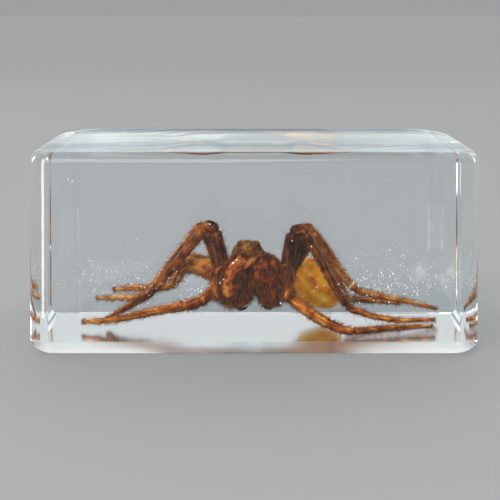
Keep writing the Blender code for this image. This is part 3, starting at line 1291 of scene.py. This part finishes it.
@dataclass
class Jaws:
    """The two bulky jaws, with rows of bristles, and the fangs folded under them."""

    ridge_count: int = 22
    ridge_depth: float = 0.018 * MM
    ridge_length: float = 1.6 * MM  # over which the ridges waver
    ridge_waver: float = 3.0
    lump_depth: float = 0.26 * MM
    lump_length: float = 1.3 * MM
    lump_scale: float = 1.3
    pit_depth: float = 0.07 * MM
    pit_scale: float = 3.7  # how much finer the pits are than the lumps
    patch_scales: tuple[float, float] = (1.6, 1.3)  # of the patches of tone, round the jaw and along it
    patch_tones: tuple[float, float] = (0.30, 0.20)  # how pale the large patches and the small ones are
    small_patches: float = 3.1  # how much finer the small patches are
    middle: tuple[float, float] = (2.4, 0.9)  # the station of the paler middle, and its reach
    middle_turn: tuple[float, float] = (0.35, 0.50)  # how far inwards it is, and its reach
    low_end: tuple[float, float] = (3.0, 0.42)  # the station where the amber lower end starts, and its tone
    ridge_tone: float = 0.05
    fang_radius: float = 0.24 * MM
    # Where each fan of bristles starts and ends, in mm.
    fans: tuple[tuple[Triple, Triple], ...] = (
        ((-2.30, -1.70, 6.95), (-0.75, -2.40, 8.50)),
        ((-2.00, -1.80, 6.80), (-0.55, -2.50, 8.10)),
        ((-0.95, -1.75, 6.95), (0.20, -2.45, 8.15)),
    )
    # A pale strand along the left jaw's lower edge, at nearly the palest tone: a painted highlight of the lit
    # edge. Its points are in mm.
    rim_highlight: tuple[Triple, ...] = (
        (-3.75, -1.75, 4.15),
        (-3.30, -1.90, 3.55),
        (-2.60, -1.85, 3.08),
        (-2.00, -1.70, 2.98),
        (-1.35, -1.50, 3.15),
    )
    rim_highlight_radius: float = 0.055 * MM
    rim_highlight_tone: float = 0.95
    bristle_length: tuple[float, float] = (1.0 * MM, 1.9 * MM)
    bristle_thickness: float = 0.040 * MM
    bristle_spread: Triple = (0.12, 0.08, 0.12)  # mm

    def loft(self, side: Side) -> Loft:
        """Give one jaw's skin."""
        stations = [(in_metres(place), wide * MM, deep * MM) for place, wide, deep in JAWS[side]]
        return Loft(course(stations), sides=112, step=0.09 * MM, relief=self.relief,
                    tone=lambda turn, station: self.tone(side, turn, station),
                    strand_pitch=6.0 * MM, phase=3.0 * side.value)

    def ridge(self, turn: float, along: float) -> float:
        """Give the height of the jaw's fine lengthwise ridges, from -1 to 1.

        Args:
            turn: The turn round the jaw.
            along: How far along the jaw, in any even measure.

        Returns:
            The height.
        """
        return math.sin(self.ridge_count * turn + self.ridge_waver * noise.noise(around(turn, 1.0, along)))

    def relief(self, turn: float, length: float) -> float:
        """Give the height of the jaw's ridges, lumps and pits.

        Args:
            turn: The turn round the jaw.
            length: How far along the jaw.

        Returns:
            The height in metres.
        """
        spot = around(turn, self.lump_scale, length / self.lump_length)
        lumps = noise.noise(spot) * self.lump_depth + noise.noise(spot * self.pit_scale) * self.pit_depth
        return lumps + self.ridge(turn, length / self.ridge_length) * self.ridge_depth

    def tone(self, side: Side, turn: float, station: float) -> float:
        """Give how pale the skin is.

        Args:
            side: Which jaw it is. The left one is red in its middle, and the right one is dark.
            turn: The turn round the jaw, where a quarter turn back faces the front.
            station: How far down the jaw it is, from 0 to 4.

        Returns:
            The tone, with an amber lower end.
        """
        plain_tone, gain = JAW_TONES[side]
        inwards, width = self.middle_turn
        centre, reach = self.middle
        start, amber = self.low_end
        glint_bubbles, small = self.patch_tones
        spot = around(turn, self.patch_scales[0], station * self.patch_scales[1], shift=4.0 * side.value)
        middle = bell(math.cos(turn) + inwards * side.value, width) * bell(station - centre, reach)
        tone = plain_tone + gain * middle
        low_end = max(0.0, station - start) ** 2
        tone += amber * low_end + glint_bubbles * noise.noise(spot) + small * noise.noise(spot * self.small_patches)
        return limited(tone + self.ridge_tone * self.ridge(turn, station))

    def build(self) -> bpy.types.Object:
        """Build both jaws, and the painted highlight along the left one's lower edge.

        Returns:
            All of it as one piece.
        """
        draft = MeshDraft()
        for side in Side:
            self.loft(side).add_to(draft)
        line = tube(map(in_metres, self.rim_highlight), [self.rim_highlight_radius] * len(self.rim_highlight), steps=8)
        # The strand's nearly palest tone is a painted highlight.
        Loft(line, sides=8, step=0.08 * MM, tone=lambda turn, station: self.rim_highlight_tone).add_to(draft)
        return settle(draft.make("jaws"), Finish.JAW, Slot.SPIDER, Node.SPIDER)

    def build_fangs(self) -> bpy.types.Object:
        """Build the fangs, which curl inwards under the jaws.

        Returns:
            Both as one piece.
        """
        draft = MeshDraft()
        for side in Side:
            root = in_metres(JAWS[side][-1][0])
            inward = Vector((-side.value, 0.0, 0.0))
            points = [root + inward * reach * MM + in_metres((0.0, back, rise))
                      for reach, back, rise, _ in FANG_POINTS]
            sizes = [self.fang_radius * share for *_, share in FANG_POINTS]
            Loft(tube(points, sizes, steps=10), sides=14, step=0.06 * MM).add_to(draft)
        return settle(draft.make("fangs"), Finish.DARK, Slot.SPIDER)

    def grow_hair(self, coat: HairCoat, count: int) -> None:
        """Grow hair on both jaws."""
        for side in Side:
            draw = random.Random(40 + side.value)
            coat.grow(self.loft(side).roots(draw, count, first=0.1, last=0.97), scale=1.15)

    def build_fans(self, count: int = 44) -> bpy.types.Object:
        """Build the fans of orange bristles that stand across the jaws' upper part.

        Args:
            count: How many bristles each fan has.

        Returns:
            All fans as one piece.
        """
        draw = random.Random(47)
        coat = HairCoat("jaw_bristles", length=self.bristle_length, thickness=self.bristle_thickness,
                        lift=(0.0, 0.0), seed=48)
        for start, end in self.fans:
            heading = (in_metres(end) - in_metres(start)).normalized()
            for _ in range(count):
                spread = in_metres([draw.gauss(0, width) for width in self.bristle_spread])
                coat.grow([HairRoot(in_metres(start) + spread, heading, heading)])
        return settle(coat.make(), Finish.BRISTLE, Slot.SPIDER)


@dataclass
class Carapace:
    """The shield over the front of the body, with the raised head and its eyes."""

    grain: float = 0.12 * MM
    smoothing: int = 7
    softness: float = 0.6  # of each smoothing
    groove_count: int = 8
    groove_depth: float = 0.07 * MM
    groove_sharpness: int = 6
    groove_reach: float = 3.2 * MM
    groove_start: float = 2.5  # how quickly the grooves set in outside the middle
    bumps: tuple[tuple[float, float], ...] = ((0.9, 0.11), (0.35, 0.05))  # each size's width and height in mm
    tones: Triple = (0.52, 0.35, 0.18)  # the tone on top, how much darker the grooves are, and how much darker the sides are as painted shade where they face away from above
    strand_scale: float = 1.5
    middle: Triple = (0.2, 4.6, 8.0)  # mm, where the grooves meet
    eye_depth: float = 0.97  # how far out the eyes' centres are, as a share of the head's size
    eye_tone: float = 0.6
    eye_rows: tuple[tuple[float, float, float], ...] = (
        # the turn from the head's middle and the rise above its centre in degrees, and the radius in mm
        (11.0, 30.0, 0.15),
        (38.0, 24.0, 0.12),
        (20.0, 52.0, 0.16),
        (52.0, 46.0, 0.14),
    )

    def build(self) -> bpy.types.Object:
        """Build the shield.

        Returns:
            One smooth form with grooves that run out from its middle.
        """
        draft = MeshDraft()
        for centre, half_sizes, turns in CARAPACE_LUMPS:
            add_ball(draft, lump_matrix(centre, half_sizes, turns), 0.5, sides=48, rings=32)
        made = draft.make("carapace")
        remesh = made.modifiers.new("join", "REMESH")
        remesh.mode = "VOXEL"
        remesh.voxel_size = self.grain
        soften = made.modifiers.new("soften", "SMOOTH")
        soften.factor = self.softness
        soften.iterations = self.smoothing
        graph = bpy.context.evaluated_depsgraph_get()
        mesh = bpy.data.meshes.new_from_object(made.evaluated_get(graph), depsgraph=graph)
        made.modifiers.clear()
        made.data = mesh
        self.carve(mesh)
        mesh.shade_smooth()
        self.shield = made
        return settle(made, Finish.CARAPACE, Slot.SPIDER, Node.SPIDER)

    def carve(self, mesh: bpy.types.Mesh) -> None:
        """Carve the grooves and give each point its tone and strand.

        Args:
            mesh: The shield's mesh.
        """
        for name in ("tone", "strand"):
            if name in mesh.attributes:
                mesh.attributes.remove(mesh.attributes[name])
        tones = []
        strands = []
        middle = in_metres(self.middle)
        top, dark_groove, painted_side_shade = self.tones
        for vertex in mesh.vertices:
            away = vertex.co - middle
            turn = math.atan2(away.y, away.x)
            reach = away.xy.length / self.groove_reach
            above = max(0.0, vertex.normal.z)
            groove = max(0.0, math.cos(self.groove_count * turn)) ** self.groove_sharpness
            groove *= above
            groove *= min(1.0, self.groove_start * reach)
            rough = sum(noise.noise(vertex.co / (width * MM)) * height * MM for width, height in self.bumps)
            vertex.co -= vertex.normal * (groove * self.groove_depth - rough)
            # The sides are darkened by how far they face away from above: painted shade.
            tones.append(limited(top - dark_groove * groove - painted_side_shade * (1.0 - above)))
            strands.extend(around(turn, self.strand_scale, reach))
        mesh.attributes.new("tone", "FLOAT", "POINT").data.foreach_set("value", tones)
        mesh.attributes.new("strand", "FLOAT_VECTOR", "POINT").data.foreach_set("vector", strands)

    def build_eyes(self) -> bpy.types.Object:
        """Build the eight eyes, in four pairs on the head's front.

        Returns:
            All eyes as one piece.
        """
        head = lump_matrix(*CARAPACE_LUMPS[1])
        draft = MeshDraft()
        for turn, rise, radius in self.eye_rows:
            for side in Side:
                across = math.radians(turn) * side.value
                up = math.radians(rise)
                level = math.cos(up)
                heading = Vector((math.sin(across) * level, -math.cos(across) * level, math.sin(up)))
                matrix = ball_matrix(head @ (heading * self.eye_depth), radius)
                add_ball(draft, matrix, self.eye_tone, sides=16, rings=10)
        return settle(draft.make("eyes"), Finish.DARK, Slot.SPIDER)

    def grow_hair(self, coat: HairCoat, count: int) -> None:
        """Grow short hair on the shield, leaning back.

        Args:
            coat: The coat that the hair goes in.
            count: How many hairs there are.
        """
        draw = random.Random(71)
        mesh = self.shield.data
        roots = []
        for polygon in draw.sample(list(mesh.polygons), min(count, len(mesh.polygons))):
            lean = Vector((0.0, 1.0, 0.0)) - polygon.normal * polygon.normal.y
            roots.append(HairRoot(polygon.center.copy(), polygon.normal.copy(), lean.normalized()))
        coat.grow(roots, scale=0.8)


# Where the abdomen's stations are, as shares of its half length.
ABDOMEN_SHARES = (-0.999, -0.93, -0.75, -0.4, 0.0, 0.4, 0.75, 0.93, 0.999)

# The waist's points and its radius at each, in mm.
WAIST_POINTS = ((1.2, 6.2, 5.7), (2.6, 7.1, 5.2), (4.2, 8.2, 4.9))
WAIST_RADII = (0.75, 0.72, 0.9)

# How far each spinneret is from the abdomen's axis, in mm.
SPINNERETS = ((0.28, 0.12, 0.1), (-0.22, 0.2, -0.12), (0.12, -0.26, 0.2), (-0.2, -0.18, -0.2))

# A spinneret's points: how much that distance grows, how far out they are in mm, and the radius there in mm.
SPINNERET_POINTS = ((1.0, -0.2, 0.17), (1.25, 0.15, 0.14), (1.5, 0.4, 0.08))


@dataclass
class Abdomen:
    """The shrunken amber abdomen, the waist that carries it and the spinnerets at its end."""

    centre: Triple = (6.6, 9.8, 3.8)  # mm
    half_length: float = 3.2
    half_width: float = 2.7
    half_height: float = 2.4
    least_size: float = 0.12  # of the half width and height at its ends
    axis: Triple = (0.740, 0.270, -0.616)  # where its end points
    fold_count: int = 9
    fold_depth: float = 0.12 * MM
    fold_length: float = 3.0 * MM
    fold_scale: float = 1.1
    fold_waver: float = 4.0
    bump_scale: float = 2.2  # how much finer the bumps between the folds are
    tones: Triple = (0.50, 0.14, 0.02)  # the tone, how much the folds change it, and what each station adds
    waist_tone: float = 0.4
    spinneret_tone: float = 0.35
    spinneret_root: float = 0.97  # where they start, as a share of the half length

    def loft(self) -> Loft:
        """Lay out the abdomen's skin.

        Returns:
            An egg-shaped loft along its axis.
        """
        axis = Vector(self.axis).normalized()
        centre = Vector(self.centre)
        stations = []
        for share in ABDOMEN_SHARES:
            size = math.sqrt(1.0 - share * share)
            place = (centre + axis * share * self.half_length) * MM
            wide = max(self.half_width * size, self.least_size) * MM
            high = max(self.half_height * size, self.least_size) * MM
            stations.append((place, wide, high))
        return Loft(course(stations), sides=64, step=0.1 * MM, relief=self.relief, tone=self.tone,
                    strand_pitch=4.5 * MM, phase=11.0)

    def relief(self, turn: float, length: float) -> float:
        """Give the height of the shrunken skin's folds.

        Args:
            turn: The turn round the abdomen.
            length: How far along it.

        Returns:
            The height in metres.
        """
        spot = around(turn, self.fold_scale, length / self.fold_length)
        fold = math.sin(self.fold_count * turn + self.fold_waver * noise.noise(spot))
        return fold * self.fold_depth * 0.5 + noise.noise(spot * self.bump_scale) * 2.0 * self.fold_depth

    def tone(self, turn: float, station: float) -> float:
        """Give how pale the skin is, with darker folds."""
        plain_tone, gain, rise = self.tones
        return plain_tone + gain * math.sin(self.fold_count * turn) + rise * station

    def build(self) -> bpy.types.Object:
        """Build the abdomen with its waist and spinnerets.

        Returns:
            All of it as one piece.
        """
        draft = MeshDraft()
        self.loft().add_to(draft)
        line = tube(map(in_metres, WAIST_POINTS), [radius * MM for radius in WAIST_RADII], steps=10)
        Loft(line, sides=20, tone=lambda turn, station: self.waist_tone).add_to(draft)
        axis = Vector(self.axis).normalized()
        end = Vector(self.centre) + axis * self.half_length * self.spinneret_root
        radii = [radius * MM for *_, radius in SPINNERET_POINTS]
        for spread in SPINNERETS:
            offset = Vector(spread)
            points = [in_metres(end + offset * growth + axis * out) for growth, out, _ in SPINNERET_POINTS]
            Loft(tube(points, radii), sides=10, step=0.08 * MM,
                 tone=lambda turn, station: self.spinneret_tone).add_to(draft)
        return settle(draft.make("abdomen"), Finish.ABDOMEN, Slot.SPIDER, Node.SPIDER)

    def grow_hair(self, coat: HairCoat, count: int) -> None:
        """Grow short hair on the abdomen."""
        coat.grow(self.loft().roots(random.Random(91), count, first=0.04, last=0.96), scale=0.75)


@dataclass
class Spider:
    """The whole spider, from its parts."""

    hairs_per_leg: int = 1500
    spines_per_leg: int = 26
    hairs_per_palp: int = 600
    hairs_per_jaw: int = 2600
    shield_hairs: int = 1200
    abdomen_hairs: int = 700
    palp_pinch: tuple[float, float] = (0.2, 0.08)  # at each joint, and its reach in stations
    palp_tones: tuple[float, float] = (0.20, 0.08)  # at its root, and how much paler each station is
    jaws: Jaws = field(default_factory=Jaws)
    carapace: Carapace = field(default_factory=Carapace)
    abdomen: Abdomen = field(default_factory=Abdomen)

    def build_legs(self, side: Side) -> None:
        """Build the four legs of one side, with their hair.

        Args:
            side: The side.
        """
        word = side.name.lower()
        legs = MeshDraft()
        coat = HairCoat(f"{word}_leg_hair", seed=200 + side.value)
        for number, label in enumerate(LEGS, start=1):
            if label.startswith(word):
                leg = Leg(label, number)
                leg.add_to(legs)
                leg.grow_hair(coat, self.hairs_per_leg, self.spines_per_leg)
        settle(legs.make(f"{word}_legs"), Finish.LEG, Slot.SPIDER, Node.SPIDER)
        settle(coat.make(), Finish.HAIR, Slot.SPIDER)

    def build_palps(self, coat: HairCoat) -> None:
        """Build the two palps beside the jaws, with their hair.

        Args:
            coat: The coat that the hair goes in.
        """
        draft = MeshDraft()
        pinch, reach = self.palp_pinch
        root_tone, rise = self.palp_tones
        radii = [radius * MM for radius in PALP_RADII]
        for side, points in PALPS.items():
            loft = Loft(tube(map(in_metres, points), radii), sides=20,
                        tone=lambda turn, station: root_tone + rise * station,
                        swell=lambda length, station: 1.0 - pinch * bell((station + 0.5) % 1.0 - 0.5, reach))
            loft.add_to(draft)
            coat.grow(loft.roots(random.Random(60 + side.value), self.hairs_per_palp, first=0.1), scale=1.1)
        settle(draft.make("palps"), Finish.LEG, Slot.SPIDER, Node.SPIDER)

    def build(self) -> None:
        """Build every part of the spider."""
        coat = HairCoat("body_hair", seed=300)
        for side in Side:
            self.build_legs(side)
        self.build_palps(coat)
        self.carapace.build()
        self.carapace.build_eyes()
        self.carapace.grow_hair(coat, self.shield_hairs)
        self.jaws.build()
        self.jaws.build_fangs()
        self.jaws.build_fans()
        self.jaws.grow_hair(coat, self.hairs_per_jaw)
        self.abdomen.build()
        self.abdomen.grow_hair(coat, self.abdomen_hairs)
        settle(coat.make(), Finish.HAIR, Slot.SPIDER)


@dataclass(frozen=True)
class Cloud:
    """A cloud of tiny bubbles: its centre and half sizes in mm, and how many it has."""

    centre: Triple
    half_sizes: Triple
    count: int
    radius: tuple[float, float] = (0.030, 0.070)


@dataclass
class Bubbles:
    """The tiny bubbles that were caught in the resin. A cloud's bubbles are kept inside the room."""

    spread: float = 0.55  # how wide a cloud scatters, as a share of its half sizes
    room: tuple[Triple, Triple] = ((-21.0, -13.0, 0.6), (21.0, 13.0, 18.9))  # mm
    clouds: tuple[Cloud, ...] = (
        Cloud((14.2, 3.0, 4.6), (5.4, 6.0, 1.0), 210),
        Cloud((14.5, 3.0, 6.6), (5.0, 6.0, 1.8), 90),
        Cloud((-14.0, 2.0, 5.2), (7.5, 7.0, 2.0), 150),
        Cloud((-5.6, -1.0, 4.6), (1.3, 2.0, 0.9), 34),
        Cloud((0.0, 2.0, 9.0), (20.0, 10.0, 8.0), 110, (0.018, 0.035)),
    )
    # Bubbles at the glints on and near the spider, all at the palest shade: painted glints.
    glint_bubbles: tuple[tuple[Triple, float], ...] = (
        ((-4.5, 2.4, 11.0), 0.07),
        ((-2.1, -2.3, 7.6), 0.09),
        ((-1.7, -2.3, 7.9), 0.06),
        ((3.9, 2.3, 9.3), 0.06),
        ((5.9, 2.4, 8.7), 0.07),
        ((2.7, -1.7, 3.4), 0.08),
        ((3.4, -1.2, 6.7), 0.05),
        ((-10.7, -1.6, 3.4), 0.07),
        ((-3.4, -2.5, 5.6), 0.06),
        ((-18.6, 0.0, 15.8), 0.07),
        ((-18.2, 0.0, 15.6), 0.06),
    )

    def build(self) -> bpy.types.Object:
        """Build all the bubbles.

        Returns:
            All of them as one piece.
        """
        draw = random.Random(12)
        draft = MeshDraft()
        for cloud in self.clouds:
            for _ in range(cloud.count):
                offset = [draw.gauss(0.0, self.spread) * half for half in cloud.half_sizes]
                place = Vector(cloud.centre) + Vector(offset)
                if all(low < value < high for low, value, high in zip(self.room[0], place, self.room[1])):
                    radius = blend(*cloud.radius, draw.random() ** 2)
                    add_ball(draft, ball_matrix(in_metres(place), radius), draw.random(), sides=7, rings=5)
        for place, radius in self.glint_bubbles:
            add_ball(draft, ball_matrix(in_metres(place), radius), 1.0, sides=14, rings=9)
        return settle(draft.make("bubbles"), Finish.BUBBLE, Slot.RESIN)


@dataclass(frozen=True)
class Softbox:
    """A rectangular soft light, with its places and size in metres and its power in watts."""

    name: str
    place: Triple
    size: tuple[float, float]
    power: float
    colour: Colour
    target: Triple = (0.0, 0.0, 0.01)

    def build(self) -> bpy.types.Object:
        """Build the light.

        Returns:
            Its object, which faces the target.
        """
        lamp = bpy.data.lights.new(self.name, "AREA")
        lamp.shape = "RECTANGLE"
        lamp.size, lamp.size_y = self.size
        lamp.energy = self.power
        lamp.color = self.colour
        made = add_object(self.name, lamp)
        made.location = self.place
        made.rotation_euler = (Vector(self.target) - Vector(self.place)).to_track_quat("-Z", "Y").to_euler()
        return made


@dataclass
class Studio:
    """A plain pale floor under soft lights, with a bright strip of sky low behind the block."""

    floor_low: Triple = (-3.0, -3.0, -0.05 * MM)
    floor_high: Triple = (3.0, 6.0, -0.05 * MM)
    sky_bands: tuple[Shade, ...] = (
        # the rise of the sky above the floor, as a sine, and its colour there
        (0.000, (0.34, 0.35, 0.36)),
        (0.015, (0.34, 0.35, 0.36)),
        (0.035, (0.96, 1.00, 1.04)),
        (0.076, (0.90, 1.00, 1.00)),
        (0.0790, (0.30, 0.38, 0.44)),
        (0.0860, (0.34, 0.42, 0.48)),
        (0.0894, (0.92, 1.00, 1.00)),
        (0.0906, (0.92, 1.00, 1.00)),
        (0.0914, (0.28, 0.38, 0.46)),
        (0.0920, (0.30, 0.40, 0.48)),
        (0.0930, (0.80, 0.90, 0.92)),
        (0.0938, (0.80, 0.90, 0.92)),
        (0.0948, (0.22, 0.34, 0.42)),
        (0.0968, (0.24, 0.36, 0.44)),
        (0.0984, (0.95, 1.06, 1.10)),
        (0.1040, (0.92, 1.02, 1.04)),
        (0.195, (1.04, 1.00, 0.95)),
        (0.208, (0.38, 0.41, 0.44)),
        (0.245, (0.38, 0.41, 0.44)),
        (0.265, (1.15, 1.12, 1.06)),
        (0.600, (1.00, 0.98, 0.94)),
        (0.850, (0.55, 0.56, 0.57)),
        (1.000, (0.40, 0.41, 0.42)),
    )
    key_from: Triple = (-0.35, -0.50, 0.80)
    key_strength: float = 2.2
    key_angle: float = 20.0  # degrees across
    key_colour: Colour = (1.0, 0.985, 0.96)
    softboxes: tuple[Softbox, ...] = (
        Softbox("front_light", (-0.20, -0.42, 0.32), (0.50, 0.32), 1.8, (1.0, 0.98, 0.95)),
        Softbox("left_rim", (-0.42, 0.40, 0.10), (0.05, 0.20), 0.40, (1.0, 0.90, 0.74)),
        Softbox("right_rim", (0.46, 0.36, 0.10), (0.05, 0.20), 0.25, (0.92, 0.97, 1.0)),
    )
    card: Softbox = Softbox("left_card", (-0.036, -0.023, 0.013), (0.008, 0.040), 0.012, (1.0, 0.87, 0.68),
                            target=(-0.0215, -0.011, 0.010))
    sky_front: Colour = (0.22, 0.23, 0.24)
    sky_turn: tuple[float, float] = (0.1, 0.6)  # how far back the sky's bands begin, and where they are full

    def build_floor(self) -> None:
        """Build the floor."""
        low, high = Vector(self.floor_low), Vector(self.floor_high)
        shape = bmesh.new()
        bmesh.ops.create_grid(shape, x_segments=1, y_segments=1, size=0.5)
        bmesh.ops.scale(shape, vec=(high.x - low.x, high.y - low.y, 1.0), verts=shape.verts)
        bmesh.ops.translate(shape, vec=(low + high) / 2, verts=shape.verts)
        mesh = bpy.data.meshes.new("studio_floor")
        shape.to_mesh(mesh)
        shape.free()
        floor = add_object("studio_floor", mesh)
        floor.data.materials.append(Finish.FLOOR.material())

    def build_card(self) -> None:
        """Add a small warm card by the block's left side. It lights the block alone and isn't seen itself."""
        card = self.card.build()
        card.visible_camera = False
        lit = bpy.data.collections.new("lit_by_card")
        lit.objects.link(bpy.data.objects["block"])
        card.light_linking.receiver_collection = lit

    def build_lights(self) -> None:
        """Add the lights: a soft key from high on the front left, a fill in front and a rim on each side."""
        key = bpy.data.lights.new("key_light", "SUN")
        key.energy = self.key_strength
        key.angle = math.radians(self.key_angle)
        key.color = self.key_colour
        made = add_object("key_light", key)
        made.rotation_euler = Vector(self.key_from).to_track_quat("Z", "Y").to_euler()
        for softbox in self.softboxes:
            softbox.build()

    def build_sky(self) -> None:
        """Build the sky: bands of brightness behind the block, and a darker front."""
        world = bpy.data.worlds.new("soft_sky")
        world.use_nodes = True
        wiring = Wiring(world.node_tree)
        heading = wiring.add("ShaderNodeTexCoord").outputs["Generated"]
        parts = wiring.add("ShaderNodeSeparateXYZ", {0: heading}).outputs
        bands = wiring.ramp(parts["Z"], self.sky_bands)
        behind = wiring.add("ShaderNodeMapRange", {0: parts["Y"], 1: self.sky_turn[0], 2: self.sky_turn[1]},
                            interpolation_type="SMOOTHSTEP").outputs[0]
        colour = wiring.add("ShaderNodeMix", {0: behind, 6: (*self.sky_front, 1.0), 7: bands},
                            data_type="RGBA").outputs[2]
        wiring.feed(world.node_tree.nodes["Background"], {"Color": colour})
        bpy.context.scene.world = world


@dataclass
class PhotoCamera:
    """The camera at the photograph's viewing angle."""

    place: Triple = (-0.39, -142.1, 32.77)  # mm
    tilt_down: float = 9.92  # degrees
    focal_pixels: float = 1381.6
    frame_pixels: float = 500.0
    sensor: float = 36.0

    def build(self) -> None:
        """Build the camera and make it the scene's own."""
        lens = bpy.data.cameras.new("photo_camera")
        lens.sensor_width = self.sensor
        lens.lens = self.sensor * self.focal_pixels / self.frame_pixels
        lens.clip_start = 5.0 * MM
        made = add_object("photo_camera", lens)
        made.location = in_metres(self.place)
        made.rotation_euler = (math.radians(90.0 - self.tilt_down), 0.0, 0.0)
        bpy.context.scene.camera = made


def set_light_paths() -> None:
    """Let light pass and bounce in the block often enough for its inner reflections."""
    paths = bpy.context.scene.cycles
    paths.max_bounces = 24
    paths.glossy_bounces = 12
    paths.transmission_bounces = 20
    paths.transparent_max_bounces = 24
    paths.caustics_refractive = False
    paths.caustics_reflective = False


def set_colours() -> None:
    """Show the light as it is, with no film look."""
    view = bpy.context.scene.view_settings
    view.view_transform = "Standard"
    view.look = "None"


def main() -> None:
    """Build the block, the spider, the bubbles and the studio, in that order."""
    logging.basicConfig(level=logging.INFO, format="%(name)s: %(message)s")
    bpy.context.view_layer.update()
    PhotoCamera().build()
    Block.from_frame().build()
    Spider().build()
    Bubbles().build()
    studio = Studio()
    studio.build_floor()
    studio.build_lights()
    studio.build_card()
    studio.build_sky()
    set_light_paths()
    set_colours()


if __name__ == "__main__":
    main()
